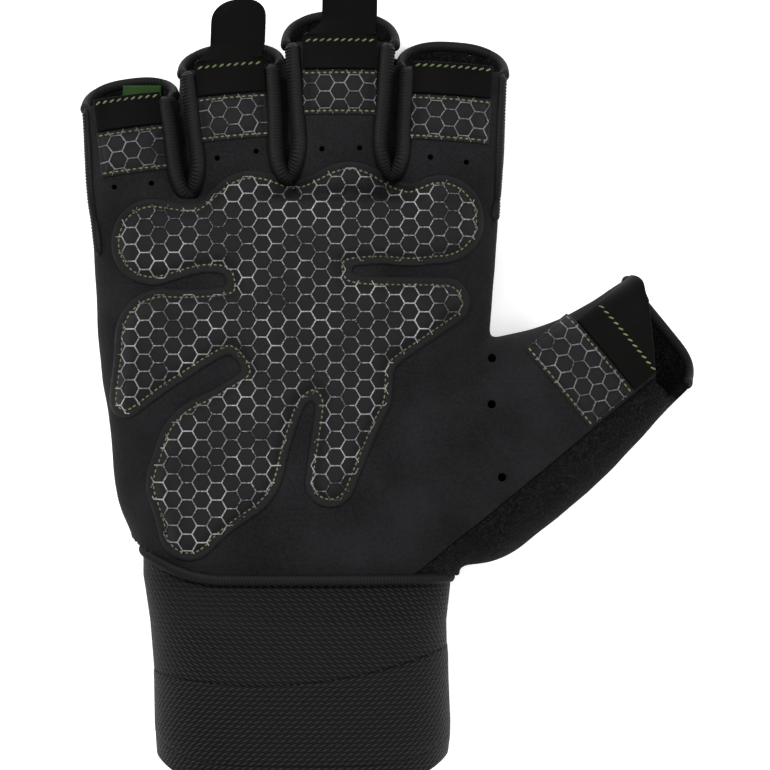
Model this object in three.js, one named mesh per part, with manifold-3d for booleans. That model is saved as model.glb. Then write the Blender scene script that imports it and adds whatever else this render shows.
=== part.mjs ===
// A right-hand, half-finger weightlifting glove with a wrist wrap, lying on its back with the palm up.
// Millimetres. +X is the thumb side, +Y runs to the fingers, +Z is up. The origin is on the flat of the
// back, under the centre of the palm.
import * as THREE from "three";
import { mergeVertices } from "three/addons/utils/BufferGeometryUtils.js";
import Module from "manifold-3d";

// Driving dimensions.
const PALM_WIDTH = 104; // across the roots of the four stalls
const PALM_LENGTH = 102; // from the wrist seam to the roots of the stalls
const PALM_HEIGHT = 34; // through the middle of the palm
const STALL_LENGTH = 31.4; // the middle stall, from its root to its palm edge
const STALL_WIDTH = 28.6; // the middle stall at its mouth
const STALL_HEIGHT = 23; // a finger stall at its mouth
const LIP_LENGTH = 8.7; // how far the back of the middle stall reaches past its palm edge
const THUMB_LENGTH = 82; // from the wrist seam to the thumb's mouth
const THUMB_WIDTH = 31; // the thumb stall at its mouth
const THUMB_HEIGHT = 26;
const THUMB_ANGLE = 39.2; // degrees from +X
const THUMB_RETREAT = 10; // how far the palm side of the thumb's mouth is cut back
const CUFF_LENGTH = 51.5; // a two-inch wrap
const CUFF_WIDTH = 76;
const CUFF_HEIGHT = 47;
const CUFF_HEM = 5.6; // width of the turned lower edge
const BOTTOM_RISE = 7; // how far the cuff's lower edge is drawn up at its sides
const WRIST_RISE = 8; // how far the wrist seam climbs at the little finger's side
const WALL = 1.6; // leather and its backing
const WRAP_THICKNESS = 2.2; // woven elastic
const ROOT_DEPTH = 0.16; // how far a stall's form starts inside the palm, as a share of its length
const SEAM_HEIGHT = 13; // where the palm panel meets the back panel
const FLAT_SINK = 1.5; // how much of each round section the table flattens
const GAP = 0.3; // clearance between neighbouring pieces
const PAD_THICKNESS = 2.4;
const HEM_THICKNESS = 1.2;
const HEM_LENGTH = 7;
const GRIP_LENGTH = 11.6; // the padded strip across a finger stall
const THUMB_GRIP_LENGTH = 14.8;
const TAB_LENGTH = 15.5; // a pull tab, past the palm edge of its stall
const TAB_WIDTH = 14;
const TERRY_STRIP = 7.6; // the towelling that shows along the thumb's lower side
const FOURCHETTE_RADIUS = 1.9;
const BINDING_RADIUS = 1.5;
const BINDING_LENGTH = 38;
const MOUTH_BINDING = 1.8;
const SEAM_BINDING_WIDTH = 2.8;
const SEAM_BINDING_THICKNESS = 1.3;
const CLOSURE_LENGTH = 30; // along the arm
const CLOSURE_WIDTH = 40;
const CLOSURE_THICKNESS = 1.5;
const LABEL_WIDTH = 9;
const LABEL_LENGTH = 8;
const LABEL_THICKNESS = 0.8;
const LABEL_REACH = 4.6; // past the palm edge of the little stall
const LABEL_SHIFT = 2.6; // off the little stall's middle
const LABEL_HEIGHT = 2.6; // its underside

const SIDES = 18; // facets round a section
const ROUNDNESS = 2.5; // exponent of the superellipse: 2 is an ellipse
const CLEAR = 200; // past every edge of the glove, for cutting
const FINEST = 0.01; // edges shorter than this are melted together

// Shares that shape the forms between the driving dimensions.
const SUNK_WIDTH = 0.8; // of the root's width, where a stall's form starts inside the palm
const SUNK_HEIGHT = 0.66; // of the root's height, there too
const STALL_MIDDLE = 0.55; // of a stall's length, where it has a section of its own
const CORD_ROOT = 0.12; // of a stall's length, where the cords of a slot start to turn
const CORD_SPREAD = 1.4; // how many radii the cords stand inside the stalls there
const CORD_LIFT = 0.35; // of a cord's radius, from the hand's surface to its middle
const THUMB_HEM = 0.79; // of the thumb's length, where its facing starts
const TAB_OVERLAP = 0.2; // of the facing's length, that a pull tab lies on
const TAB_FACETS = 8; // round a pull tab's end

const WRIST_Y = -0.487 * PALM_LENGTH;

// The palm's sections. y is a share of the palm's length from the wrist seam, left and right are
// shares of its width from the centre, and height is a share of its height.
const PALM_SECTIONS = [
  { y: 0.0, left: -0.375, right: 0.402, height: 1.1 },
  { y: 0.1, left: -0.392, right: 0.425, height: 1.1 },
  { y: 0.18, left: -0.424, right: 0.442, height: 1.08 },
  { y: 0.3, left: -0.442, right: 0.458, height: 1.04 },
  { y: 0.48, left: -0.464, right: 0.471, height: 1.0 },
  { y: 0.75, left: -0.487, right: 0.49, height: 0.9 },
  { y: 0.93, left: -0.498, right: 0.505, height: 0.8 },
];

// The finger stalls. The roots' places and widths are shares of the palm's size, width, length and lip
// are shares of the middle stall's, and panel is the share of the mouth that the leather front takes.
// tabShift and tabLean are how far a pull tab sits off the stall's middle, and how much further its end
// does, as shares of its width.
const STALLS = [
  { name: "little", rootX: -0.375, rootY: 0.46, rootWidth: 0.252, mouthX: -0.406,
    width: 0.82, length: 0.771, lip: 0.7, panel: 0.74, tab: false },
  { name: "ring", rootX: -0.131, rootY: 0.5, rootWidth: 0.25, mouthX: -0.155,
    width: 0.905, length: 0.917, lip: 0.76, panel: 0.68, tab: true, tabShift: 0.15, tabLean: 0.14 },
  { name: "middle", rootX: 0.115, rootY: 0.537, rootWidth: 0.256, mouthX: 0.115,
    width: 1, length: 1, lip: 1, panel: 0.66, tab: true, tabShift: 0.17, tabLean: 0.02 },
  { name: "index", rootX: 0.374, rootY: 0.513, rootWidth: 0.274, mouthX: 0.392,
    width: 0.955, length: 0.86, lip: 0.85, panel: 0.76, tab: false },
];

// The thumb's sections. along is a share of its length from the wrist seam, lower and across are where it
// starts and ends across the thumb's line as shares of its width, and height is a share of its height.
const THUMB_SECTIONS = [
  { along: 0.02, lower: 0.06, across: 1.2, height: 1.15 },
  { along: 0.12, lower: -0.09, across: 1.3, height: 1.32 },
  { along: 0.3, lower: -0.14, across: 1.42, height: 1.34 },
  { along: 0.58, lower: -0.125, across: 1.29, height: 1.2 },
  { along: 0.68, lower: -0.09, across: 1.16, height: 1.12 },
  { along: 0.8, lower: -0.045, across: 1.06, height: 1.04 },
  { along: 1.0, lower: 0, across: 1.0, height: 1.0 },
];

// The cuff's sections. y is a share of its length below the wrist seam, left and right are shares of
// its width from the palm's centre line, and height is a share of its height.
const CUFF_SECTIONS = [
  { y: 0.06, left: -0.495, right: 0.527, height: 0.84 },
  { y: 0.22, left: -0.476, right: 0.514, height: 0.95 },
  { y: 0.5, left: -0.459, right: 0.518, height: 1.0 },
  { y: 0.78, left: -0.456, right: 0.526, height: 1.0 },
  { y: 1.0, left: -0.446, right: 0.508, height: 0.98 },
];

// The palm pad's round lobes: x and r are shares of the palm's width, y is a share of its length.
const LOBES = {
  littleKnuckle: { x: -0.338, y: 0.342, r: 0.105 },
  ringKnuckle: { x: -0.216, y: 0.35, r: 0.078 },
  ringMount: { x: -0.093, y: 0.385, r: 0.128 },
  midMount: { x: 0.017, y: 0.37, r: 0.115 },
  middleMount: { x: 0.14, y: 0.412, r: 0.123 },
  indexMount: { x: 0.287, y: 0.38, r: 0.093 },
  indexKnuckle: { x: 0.36, y: 0.398, r: 0.108 },
  trunkTop: { x: -0.02, y: 0.325, r: 0.147 },
  trunk: { x: 0.017, y: 0.125, r: 0.152 },
  webTip: { x: 0.373, y: 0.193, r: 0.059 },
  webRoot: { x: 0.115, y: 0.113, r: 0.14 },
  thumbRoot: { x: 0.152, y: -0.03, r: 0.088 },
  thumbTip: { x: 0.093, y: -0.25, r: 0.061 },
  heel: { x: -0.172, y: -0.195, r: 0.152 },
  heelSide: { x: -0.24, y: -0.255, r: 0.108 },
  heelTip: { x: -0.248, y: -0.37, r: 0.069 },
  neck: { x: -0.032, y: -0.013, r: 0.074 },
  edge: { x: -0.314, y: 0.105, r: 0.113 },
  edgeTip: { x: -0.405, y: -0.05, r: 0.044 },
  edgeRoot: { x: -0.142, y: 0.155, r: 0.071 },
};
const LOBE_LINKS = [
  ["littleKnuckle", "ringKnuckle"], ["ringKnuckle", "ringMount"], ["ringMount", "midMount"],
  ["midMount", "middleMount"], ["middleMount", "indexMount"], ["indexMount", "indexKnuckle"],
  ["trunkTop", "trunk"], ["webTip", "webRoot"], ["webRoot", "thumbRoot"], ["thumbRoot", "thumbTip"],
  ["heel", "heelSide"], ["heelSide", "heelTip"], ["heel", "neck"], ["edge", "edgeTip"],
  ["edge", "edgeRoot"], ["trunk", "webRoot"],
];

// Vent holes: x and y are shares of the palm's width and length.
const VENT_RADIUS = 0.7;
const THUMB_VENT_RADIUS = 1.07;
const VENTS = [
  [-0.4325, 0.478], [-0.342, 0.4875], [-0.1824, 0.55], [-0.088, 0.5675],
  [0.0723, 0.573], [0.164, 0.575], [0.336, 0.5525], [0.4234, 0.54],
];
const THUMB_VENTS = [[0.4855, 0.054], [0.483, -0.06], [0.5076, -0.239]];

const wasm = await Module();
wasm.setup();

// The solid of a closed geometry.
function solidOf(geometry) {
  const bare = geometry.index ? geometry.toNonIndexed() : geometry.clone();
  bare.deleteAttribute("normal");
  bare.deleteAttribute("uv");
  const merged = mergeVertices(bare, 1e-4);
  const mesh = new wasm.Mesh({
    numProp: 3,
    vertProperties: merged.attributes.position.array,
    triVerts: new Uint32Array(merged.index.array),
  });
  return new wasm.Manifold(mesh);
}

// The geometry of a solid.
function geometryOf(solid) {
  const mesh = solid.getMesh();
  const geometry = new THREE.BufferGeometry();
  geometry.setAttribute("position", new THREE.BufferAttribute(mesh.vertProperties, 3));
  geometry.setIndex(new THREE.BufferAttribute(mesh.triVerts, 1));
  geometry.computeVertexNormals();
  return geometry;
}

// The largest body of a solid, without the crumbs that a cut can leave.
function mainBody(solid) {
  const bodies = solid.decompose();
  return bodies.reduce((a, b) => (a.volume() > b.volume() ? a : b));
}

// A closed skin over rings with equally many points. Each end is closed by strips that join a point of
// the upper half to the one below it.
function loft(rings) {
  const sides = rings[0].length;
  const index = [];
  for (let r = 0; r + 1 < rings.length; r++) {
    for (let i = 0; i < sides; i++) {
      const a = r * sides + i;
      const b = r * sides + ((i + 1) % sides);
      index.push(a, a + sides, b, b, a + sides, b + sides);
    }
  }
  const last = (rings.length - 1) * sides;
  for (let i = 0; i + 1 < sides / 2; i++) {
    const below = sides - 1 - i;
    index.push(i, i + 1, below, below, i + 1, below - 1);
    index.push(last + i, last + below, last + i + 1, last + below, last + below - 1, last + i + 1);
  }
  const geometry = new THREE.BufferGeometry().setFromPoints(rings.flat());
  geometry.setIndex(index);
  return solidOf(geometry);
}

// The unit superellipse's points: u across and w up, each from -1 to 1.
const SECTION = Array.from({ length: SIDES }, (_, i) => {
  const angle = ((i + 0.5) / SIDES) * 2 * Math.PI;
  const bend = (v) => Math.sign(v) * Math.abs(v) ** (2 / ROUNDNESS);
  return { u: bend(Math.cos(angle)), w: bend(Math.sin(angle)) };
});

// A frame in the plan: along its direction, and across to the right of it.
function planFrame(x, y, angle) {
  const direction = new THREE.Vector2(Math.cos(angle), Math.sin(angle));
  const right = new THREE.Vector2(direction.y, -direction.x);
  return (along, across) => {
    const p = new THREE.Vector2(x, y);
    return p.addScaledVector(direction, along).addScaledVector(right, across);
  };
}

// One ring of a loft in a plan frame. warp(u, w, x) moves its points along the frame.
function ring(frame, along, left, right, height, grow, warp = () => 0) {
  const halfWidth = (right - left) / 2 + grow;
  const halfHeight = (height + FLAT_SINK) / 2 + grow;
  return SECTION.map(({ u, w }) => {
    const x = (left + right) / 2 + halfWidth * u;
    const p = frame(along + warp(u, w, x), x);
    return new THREE.Vector3(p.x, p.y, (height - FLAT_SINK) / 2 + halfHeight * w);
  });
}

// How far the wrist seam climbs at the place x across the wrist.
function wristRise(x) {
  const share = x / (PALM_SECTIONS[0].left * PALM_WIDTH);
  return WRIST_RISE * (Math.max(0, share - 0.45) / 0.55) ** 2;
}

const palmFrame = planFrame(0, WRIST_Y, Math.PI / 2);

function palmLoft(grow, overrun) {
  const last = PALM_SECTIONS.length - 1;
  const reach = (i) => (i === last ? grow : i === 0 ? -Math.max(0, grow) : 0);
  const rings = PALM_SECTIONS.map((s, i) =>
    ring(palmFrame, s.y * PALM_LENGTH + reach(i), s.left * PALM_WIDTH,
      s.right * PALM_WIDTH, s.height * PALM_HEIGHT, grow,
      (u, w, x) => wristRise(x) * (1 - s.y / PALM_SECTIONS[last].y)),
  );
  const wrist = PALM_SECTIONS[0];
  const past = ring(palmFrame, -overrun, wrist.left * PALM_WIDTH, wrist.right * PALM_WIDTH,
    wrist.height * PALM_HEIGHT, grow, (u, w, x) => wristRise(x));
  return loft(overrun > 0 ? [past, ...rings] : rings);
}

// A stall's measures in millimetres, with its plan frame.
function stallMeasures(stall) {
  const root = new THREE.Vector2(stall.rootX * PALM_WIDTH, stall.rootY * PALM_LENGTH);
  const rise = stall.length * STALL_LENGTH;
  const lean = stall.mouthX * PALM_WIDTH - root.x;
  return {
    frame: planFrame(root.x, root.y, Math.atan2(rise, lean)),
    length: Math.hypot(rise, lean),
    width: stall.width * STALL_WIDTH,
    rootWidth: stall.rootWidth * PALM_WIDTH,
    lip: stall.lip * LIP_LENGTH,
    panel: stall.panel * stall.width * STALL_WIDTH,
    rootHeight: PALM_SECTIONS[PALM_SECTIONS.length - 1].height * PALM_HEIGHT,
  };
}

const MEASURES = new Map(STALLS.map((stall) => [stall.name, stallMeasures(stall)]));

function stallRing(m, along, grow, warped) {
  const share = THREE.MathUtils.clamp(along / m.length, 0, 1);
  const width = THREE.MathUtils.lerp(m.rootWidth, m.width, share);
  const height = THREE.MathUtils.lerp(m.rootHeight, STALL_HEIGHT, share);
  const warp = (u, w) => (warped ? m.lip * Math.max(0, -w) : 0);
  return ring(m.frame, along, -width / 2, width / 2, height, grow, warp);
}

// A stall's form. It starts sunk in the palm, narrower and lower than its root.
function stallLoft(m, grow, overrun) {
  const sunkHalf = (SUNK_WIDTH * m.rootWidth) / 2;
  const sunk = ring(m.frame, -ROOT_DEPTH * PALM_LENGTH - grow, -sunkHalf, sunkHalf,
    SUNK_HEIGHT * m.rootHeight, grow);
  const rings = [
    sunk,
    stallRing(m, 0, grow, false),
    stallRing(m, STALL_MIDDLE * m.length, grow, false),
    stallRing(m, m.length + Math.max(0, grow), grow, true),
  ];
  if (overrun > 0) rings.push(stallRing(m, m.length + overrun, grow, true));
  return loft(rings);
}

const thumbOrigin = new THREE.Vector2(PALM_SECTIONS[0].right * PALM_WIDTH, WRIST_Y - GAP);
const thumbFrame = planFrame(thumbOrigin.x, thumbOrigin.y, THREE.MathUtils.degToRad(THUMB_ANGLE));

// The thumb's mouth is cut back on its palm side, more so towards its lower edge, where u is 1.
function thumbMouthWarp(u, w) {
  const share = THREE.MathUtils.clamp((u + 0.56) / 0.98, 0, 1.2);
  return -THUMB_RETREAT * (share * Math.max(0, w) + 0.5 * Math.max(0, u) ** 6);
}

function thumbRing(s, along, grow, warp) {
  return ring(thumbFrame, along, -s.across * THUMB_WIDTH, -s.lower * THUMB_WIDTH,
    s.height * THUMB_HEIGHT, grow, warp);
}

function thumbLoft(grow, overrun) {
  const last = THUMB_SECTIONS.length - 1;
  const mouth = THUMB_SECTIONS[last];
  const rings = THUMB_SECTIONS.slice(0, last).map((s, i) =>
    thumbRing(s, s.along * THUMB_LENGTH - (i === 0 ? grow : 0), grow));
  rings.push(thumbRing(mouth, THUMB_LENGTH + Math.max(0, grow), grow, thumbMouthWarp));
  if (overrun > 0) rings.push(thumbRing(mouth, THUMB_LENGTH + overrun, grow, thumbMouthWarp));
  return loft(rings);
}

const handCache = new Map();

// The whole hand's form, every section grown by the same amount and cut off flat at the floor.
function hand(grow, overrun = 0) {
  const key = `${grow} ${overrun}`;
  if (!handCache.has(key)) {
    const stalls = [...MEASURES.values()].map((m) => stallLoft(m, grow, overrun));
    const whole = [palmLoft(grow, overrun), thumbLoft(grow, overrun), ...stalls];
    handCache.set(key, whole.reduce((a, b) => a.add(b)).trimByPlane([0, 0, 1], Math.max(0, -grow)));
  }
  return handCache.get(key);
}

// A prism over plan points, between two heights.
function prism(points, low, high) {
  const geometry = new THREE.ExtrudeGeometry(new THREE.Shape(points), {
    depth: high - low,
    bevelEnabled: false,
  });
  return solidOf(geometry.translate(0, 0, low));
}

// A prism over an oblong of a plan frame.
function oblong(frame, along0, along1, across0, across1, low, high) {
  const corners = [
    frame(along0, across1), frame(along1, across1), frame(along1, across0), frame(along0, across0),
  ];
  return prism(corners, low, high);
}

// The pad's outline in the plan: round lobes, joined two by two by their tangents.
function lobesPrism(low, high) {
  const discs = Object.values(LOBES).map((lobe) => {
    const centre = new THREE.Vector2(lobe.x * PALM_WIDTH, lobe.y * PALM_LENGTH);
    return prism(arcPoints(centre, lobe.r * PALM_WIDTH, 0, 2 * Math.PI, 20), low, high);
  });
  const links = LOBE_LINKS.map(([from, to]) => {
    const a = new THREE.Vector2(LOBES[from].x * PALM_WIDTH, LOBES[from].y * PALM_LENGTH);
    const b = new THREE.Vector2(LOBES[to].x * PALM_WIDTH, LOBES[to].y * PALM_LENGTH);
    const ra = LOBES[from].r * PALM_WIDTH;
    const rb = LOBES[to].r * PALM_WIDTH;
    const heading = Math.atan2(b.y - a.y, b.x - a.x);
    const spread = Math.acos(THREE.MathUtils.clamp((ra - rb) / a.distanceTo(b), -1, 1));
    const tangent = (centre, radius, side) =>
      new THREE.Vector2(Math.cos(heading + side * spread), Math.sin(heading + side * spread))
        .multiplyScalar(radius)
        .add(centre);
    return prism([tangent(a, ra, -1), tangent(b, rb, -1), tangent(b, rb, 1), tangent(a, ra, 1)],
      low, high);
  });
  return [...discs, ...links].reduce((a, b) => a.add(b));
}

// Points on an arc, without its last one.
function arcPoints(centre, radius, from, to, steps) {
  return Array.from({ length: steps }, (_, i) => {
    const angle = from + ((to - from) * i) / steps;
    return new THREE.Vector2(centre.x + radius * Math.cos(angle), centre.y + radius * Math.sin(angle));
  });
}

// A layer that lies on the palm side of the hand, inside a prism.
function skin(outline, thickness) {
  const layer = hand(GAP + thickness).subtract(hand(GAP));
  return layer.intersect(outline).trimByPlane([0, 0, 1], SEAM_HEIGHT + GAP);
}

const probe = new THREE.Raycaster();
const handSurface = new THREE.Mesh(
  geometryOf(hand(0)),
  new THREE.MeshStandardMaterial({ side: THREE.DoubleSide }),
);

// The height of the hand's palm side at a place in the plan.
function surfaceHeight(p) {
  probe.set(new THREE.Vector3(p.x, p.y, CLEAR), new THREE.Vector3(0, 0, -1));
  const hits = probe.intersectObject(handSurface);
  return hits.length ? hits[0].point.z : SEAM_HEIGHT;
}

// A round cord along plan points, laid on the hand.
function drapedCord(points, radius, steps) {
  const lift = CORD_LIFT * radius;
  const path = new THREE.CatmullRomCurve3(
    points.map((p) => new THREE.Vector3(p.x, p.y, surfaceHeight(p) + lift)),
  );
  const section = new THREE.Shape(arcPoints(new THREE.Vector2(), radius, 0, 2 * Math.PI, 8));
  return solidOf(new THREE.ExtrudeGeometry(section, { steps, extrudePath: path }));
}

// Sub-parts of the shell.

const cavity = hand(-WALL, CLEAR / 4);
const shell = hand(0).subtract(cavity);

// Everything that belongs to the back: what is under the seam, and the strip along the thumb.
function backZone(grow) {
  const under = prism([
    new THREE.Vector2(-CLEAR, -CLEAR), new THREE.Vector2(CLEAR, -CLEAR),
    new THREE.Vector2(CLEAR, CLEAR), new THREE.Vector2(-CLEAR, CLEAR),
  ], -1, SEAM_HEIGHT + grow);
  const strip = oblong(thumbFrame, -CLEAR / 10, CLEAR, -TERRY_STRIP - grow, CLEAR / 10,
    SEAM_HEIGHT - 1, CLEAR / 2);
  return under.add(strip);
}

function ventHoles() {
  const hole = (radius) => ([x, y]) => {
    const drill = new THREE.CylinderGeometry(radius, radius, CLEAR, 6).rotateX(Math.PI / 2);
    return solidOf(drill.translate(x * PALM_WIDTH, y * PALM_LENGTH, SEAM_HEIGHT + CLEAR / 2));
  };
  const small = VENTS.map(hole(VENT_RADIUS));
  const large = THUMB_VENTS.map(hole(THUMB_VENT_RADIUS));
  return [...small, ...large].reduce((a, b) => a.add(b));
}

// Stitched-on pieces of a stall.

const stallCords = STALLS.slice(1).map((stall, i) => {
  const left = MEASURES.get(STALLS[i].name);
  const right = MEASURES.get(stall.name);
  const reach = FOURCHETTE_RADIUS + GAP;
  const leftTop = left.frame(left.length - GAP, left.width / 2 - reach);
  const rootReach = CORD_SPREAD * FOURCHETTE_RADIUS + GAP;
  const leftRoot = left.frame(CORD_ROOT * left.length, left.rootWidth / 2 - rootReach);
  const rightTop = right.frame(right.length - GAP, -right.width / 2 + reach);
  const rightRoot = right.frame(CORD_ROOT * right.length, -right.rootWidth / 2 + rootReach);
  const bottom = leftRoot.clone().lerp(rightRoot, 0.5);
  bottom.y = Math.min(leftRoot.y, rightRoot.y) - 2 * FOURCHETTE_RADIUS;
  const mid = (a, b) => a.clone().lerp(b, 0.5);
  return {
    name: `fourchette_${STALLS[i].name}_${stall.name}`,
    points: [leftTop, mid(leftTop, leftRoot), leftRoot, bottom, rightRoot,
      mid(rightTop, rightRoot), rightTop],
    radius: FOURCHETTE_RADIUS,
    steps: 18,
  };
});

const sideCords = [[STALLS[0], -1], [STALLS[STALLS.length - 1], 1]].map(([stall, side]) => {
  const m = MEASURES.get(stall.name);
  const edge = (along, width) => m.frame(along, side * (width / 2 - BINDING_RADIUS));
  return {
    name: `side_strip_${stall.name}`,
    points: [edge(m.length - GAP, m.width), edge(0.5 * m.length, (m.width + m.rootWidth) / 2),
      edge(0, m.rootWidth), edge(m.length - BINDING_LENGTH, m.rootWidth)],
    radius: BINDING_RADIUS,
    steps: 12,
  };
});

const cords = [...stallCords, ...sideCords];
const cordRoom = cords
  .map((cord) => drapedCord(cord.points, cord.radius + GAP, cord.steps))
  .reduce((a, b) => a.add(b));

function stallFront(m, from, to, thickness) {
  const outline = oblong(m.frame, from, to, -m.panel / 2, m.panel / 2, 0, CLEAR / 2);
  return skin(outline, thickness).subtract(cordRoom);
}

// A pull tab that carries the hem on past the mouth, with a rounded end.
function pullTab(m, stall) {
  const half = TAB_WIDTH / 2;
  const end = m.length + TAB_LENGTH - half;
  const low = STALL_HEIGHT + GAP + 0.1;
  const start = m.length - TAB_OVERLAP * HEM_LENGTH;
  const at = (along, across) => {
    const lean = (stall.tabLean * (along - start)) / TAB_LENGTH;
    return m.frame(along, across + TAB_WIDTH * (stall.tabShift + lean));
  };
  const corners = [at(start, half), at(end, half)];
  const round = Array.from({ length: TAB_FACETS - 1 }, (_, i) => {
    const angle = ((i + 1) / TAB_FACETS) * Math.PI;
    return at(end + half * Math.sin(angle), half * Math.cos(angle));
  });
  corners.push(...round, at(end, -half), at(start, -half));
  return prism(corners, low, low + HEM_THICKNESS);
}

// The turned edge round a mouth, just past the wall. back and front are the rings that bound it.
function mouthRim(back, front) {
  return loft([back, front]).subtract(cavity).trimByPlane([0, 0, 1], 0);
}

function stallRim(m) {
  const start = m.length + GAP;
  return mouthRim(stallRing(m, start, 0, true), stallRing(m, start + MOUTH_BINDING, 0, true));
}

const thumbMouth = THUMB_SECTIONS[THUMB_SECTIONS.length - 1];

function thumbRim() {
  const edge = (along) => thumbRing(thumbMouth, along, 0, thumbMouthWarp);
  return mouthRim(edge(THUMB_LENGTH + GAP), edge(THUMB_LENGTH + GAP + MOUTH_BINDING));
}

// The room that the thumb's rim takes, with its clearance.
function thumbRimRoom() {
  const near = 0.9 * GAP;
  const back = thumbRing(thumbMouth, THUMB_LENGTH - 2 * THUMB_RETREAT, near);
  const front = thumbRing(thumbMouth, THUMB_LENGTH + 2 * GAP + MOUTH_BINDING, near, thumbMouthWarp);
  return loft([back, front]);
}

// The cuff.

// A cuff measure at a height in the plan, read between the sections.
function cuffMeasure(y, key) {
  const share = (WRIST_Y - y) / CUFF_LENGTH;
  const rows = CUFF_SECTIONS;
  const next = Math.max(1, rows.findIndex((s) => s.y >= share));
  const after = rows[share > rows[rows.length - 1].y ? rows.length - 1 : next];
  const before = rows[rows.indexOf(after) - 1];
  const t = THREE.MathUtils.clamp((share - before.y) / (after.y - before.y), 0, 1);
  return THREE.MathUtils.lerp(before[key], after[key], t);
}

const wristEdge = (u) => WRIST_Y + wristRise(u * -CUFF_SECTIONS[0].left * CUFF_WIDTH);
const inEdge = (edge, way) => (u) => edge(u) + way;
const turnEdge = (u) => WRIST_Y - CUFF_LENGTH * (0.495 - 0.06 * u - 0.098 * u * u);
const bottomEdge = (u) => WRIST_Y - CUFF_LENGTH + BOTTOM_RISE * Math.abs(u) ** 5;

// The cuff's form between two edges, each a plan height at the place u across.
function cuffLoft(upper, lower, grow) {
  const shares = [0, 0.33, 0.67, 1];
  const rings = shares.map((t) =>
    SECTION.map(({ u, w }) => {
      const place = u * (1 + (2 * grow) / CUFF_WIDTH);
      const y = THREE.MathUtils.lerp(upper(place), lower(place), t);
      const left = cuffMeasure(y, "left") * CUFF_WIDTH;
      const right = cuffMeasure(y, "right") * CUFF_WIDTH;
      const height = cuffMeasure(y, "height") * CUFF_HEIGHT;
      const x = (left + right) / 2 + ((right - left) / 2 + grow) * u;
      return new THREE.Vector3(x, y, (height - FLAT_SINK) / 2 + ((height + FLAT_SINK) / 2 + grow) * w);
    }),
  );
  return loft(rings.reverse());
}

const CUFF_FLOOR = CLOSURE_THICKNESS + GAP;

// A band of the wrap between two edges.
function wrapBand([upper, lower]) {
  const outer = cuffLoft(upper, lower, 0).trimByPlane([0, 0, 1], CUFF_FLOOR);
  const inner = cuffLoft((u) => upper(u) + 1, (u) => lower(u) - 1, -WRAP_THICKNESS)
    .trimByPlane([0, 0, 1], CUFF_FLOOR + WRAP_THICKNESS);
  return outer.subtract(inner);
}

const hemEdge = inEdge(bottomEdge, CUFF_HEM);
const UPPER_TURN = [inEdge(wristEdge, -GAP), inEdge(turnEdge, GAP / 2)];
const LOWER_TURN = [inEdge(turnEdge, -GAP / 2), inEdge(hemEdge, GAP / 2)];
const WRAP_HEM = [inEdge(hemEdge, -GAP / 2), bottomEdge];

// The bound seam that covers where the wrap meets the hand.
function seamBinding() {
  const half = SEAM_BINDING_WIDTH / 2;
  const layer = cuffLoft(inEdge(wristEdge, half), inEdge(wristEdge, -half),
    GAP + SEAM_BINDING_THICKNESS);
  const wrapRoom = cuffLoft(wristEdge, UPPER_TURN[1], GAP);
  return layer.subtract(wrapRoom).subtract(hand(GAP)).trimByPlane([0, 0, 1], 0);
}

function closure() {
  const y = WRIST_Y - CUFF_LENGTH / 2;
  const frame = planFrame(0, y, Math.PI / 2);
  return oblong(frame, -CLOSURE_LENGTH / 2, CLOSURE_LENGTH / 2, -CLOSURE_WIDTH / 2, CLOSURE_WIDTH / 2,
    0, CLOSURE_THICKNESS);
}

const MATERIALS = {
  suede: { color: 0x202022, roughness: 0.95, metalness: 0 },
  towelling: { color: 0x222224, roughness: 1, metalness: 0 },
  silicone: { color: 0x2a2a2c, roughness: 0.45, metalness: 0 },
  facing: { color: 0x151614, roughness: 0.8, metalness: 0 },
  elastic: { color: 0x1f1f1f, roughness: 0.9, metalness: 0 },
  label: { color: 0x3c5a28, roughness: 0.8, metalness: 0 },
};

const group = new THREE.Group();

function piece(name, solid, material) {
  const mesh = new THREE.Mesh(
    geometryOf(mainBody(solid.simplify(FINEST))),
    new THREE.MeshStandardMaterial(MATERIALS[material]),
  );
  mesh.name = name;
  group.add(mesh);
}

piece("palm_panel", shell.subtract(backZone(GAP / 2)).subtract(ventHoles()), "suede");
piece("back_panel", shell.intersect(backZone(-GAP / 2)), "towelling");
piece("palm_pad", skin(lobesPrism(0, CLEAR / 2), PAD_THICKNESS).subtract(cordRoom), "silicone");

for (const cord of cords) {
  const form = drapedCord(cord.points, cord.radius, cord.steps);
  piece(cord.name, form.subtract(hand(GAP)), "elastic");
}

for (const stall of STALLS) {
  const m = MEASURES.get(stall.name);
  const hemStart = m.length - HEM_LENGTH;
  const hem = stallFront(m, hemStart, m.length, HEM_THICKNESS);
  const facing = stall.tab ? hem.add(pullTab(m, stall)) : hem;
  piece(`rim_facing_${stall.name}`, facing, "facing");
  const grip = stallFront(m, hemStart - GAP - GRIP_LENGTH, hemStart - GAP, PAD_THICKNESS);
  piece(`grip_patch_${stall.name}`, grip, "silicone");
  piece(`mouth_binding_${stall.name}`, stallRim(m), "facing");
}

const thumbFront = (from, to, thickness) =>
  skin(oblong(thumbFrame, from, to, -1.2 * THUMB_WIDTH, -TERRY_STRIP - GAP, 0, CLEAR / 2), thickness);
const thumbHemStart = THUMB_HEM * THUMB_LENGTH;
piece("rim_facing_thumb",
  thumbFront(thumbHemStart, 1.1 * THUMB_LENGTH, HEM_THICKNESS).subtract(thumbRimRoom()), "facing");
piece("grip_patch_thumb",
  thumbFront(thumbHemStart - GAP - THUMB_GRIP_LENGTH, thumbHemStart - GAP, PAD_THICKNESS), "silicone");
piece("mouth_binding_thumb", thumbRim(), "facing");

piece("wrap_upper_turn", wrapBand(UPPER_TURN), "elastic");
piece("wrap_lower_turn", wrapBand(LOWER_TURN), "elastic");
piece("wrap_hem", wrapBand(WRAP_HEM), "facing");
piece("wrap_seam_binding", seamBinding(), "elastic");
piece("wrap_closure", closure(), "facing");

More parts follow.
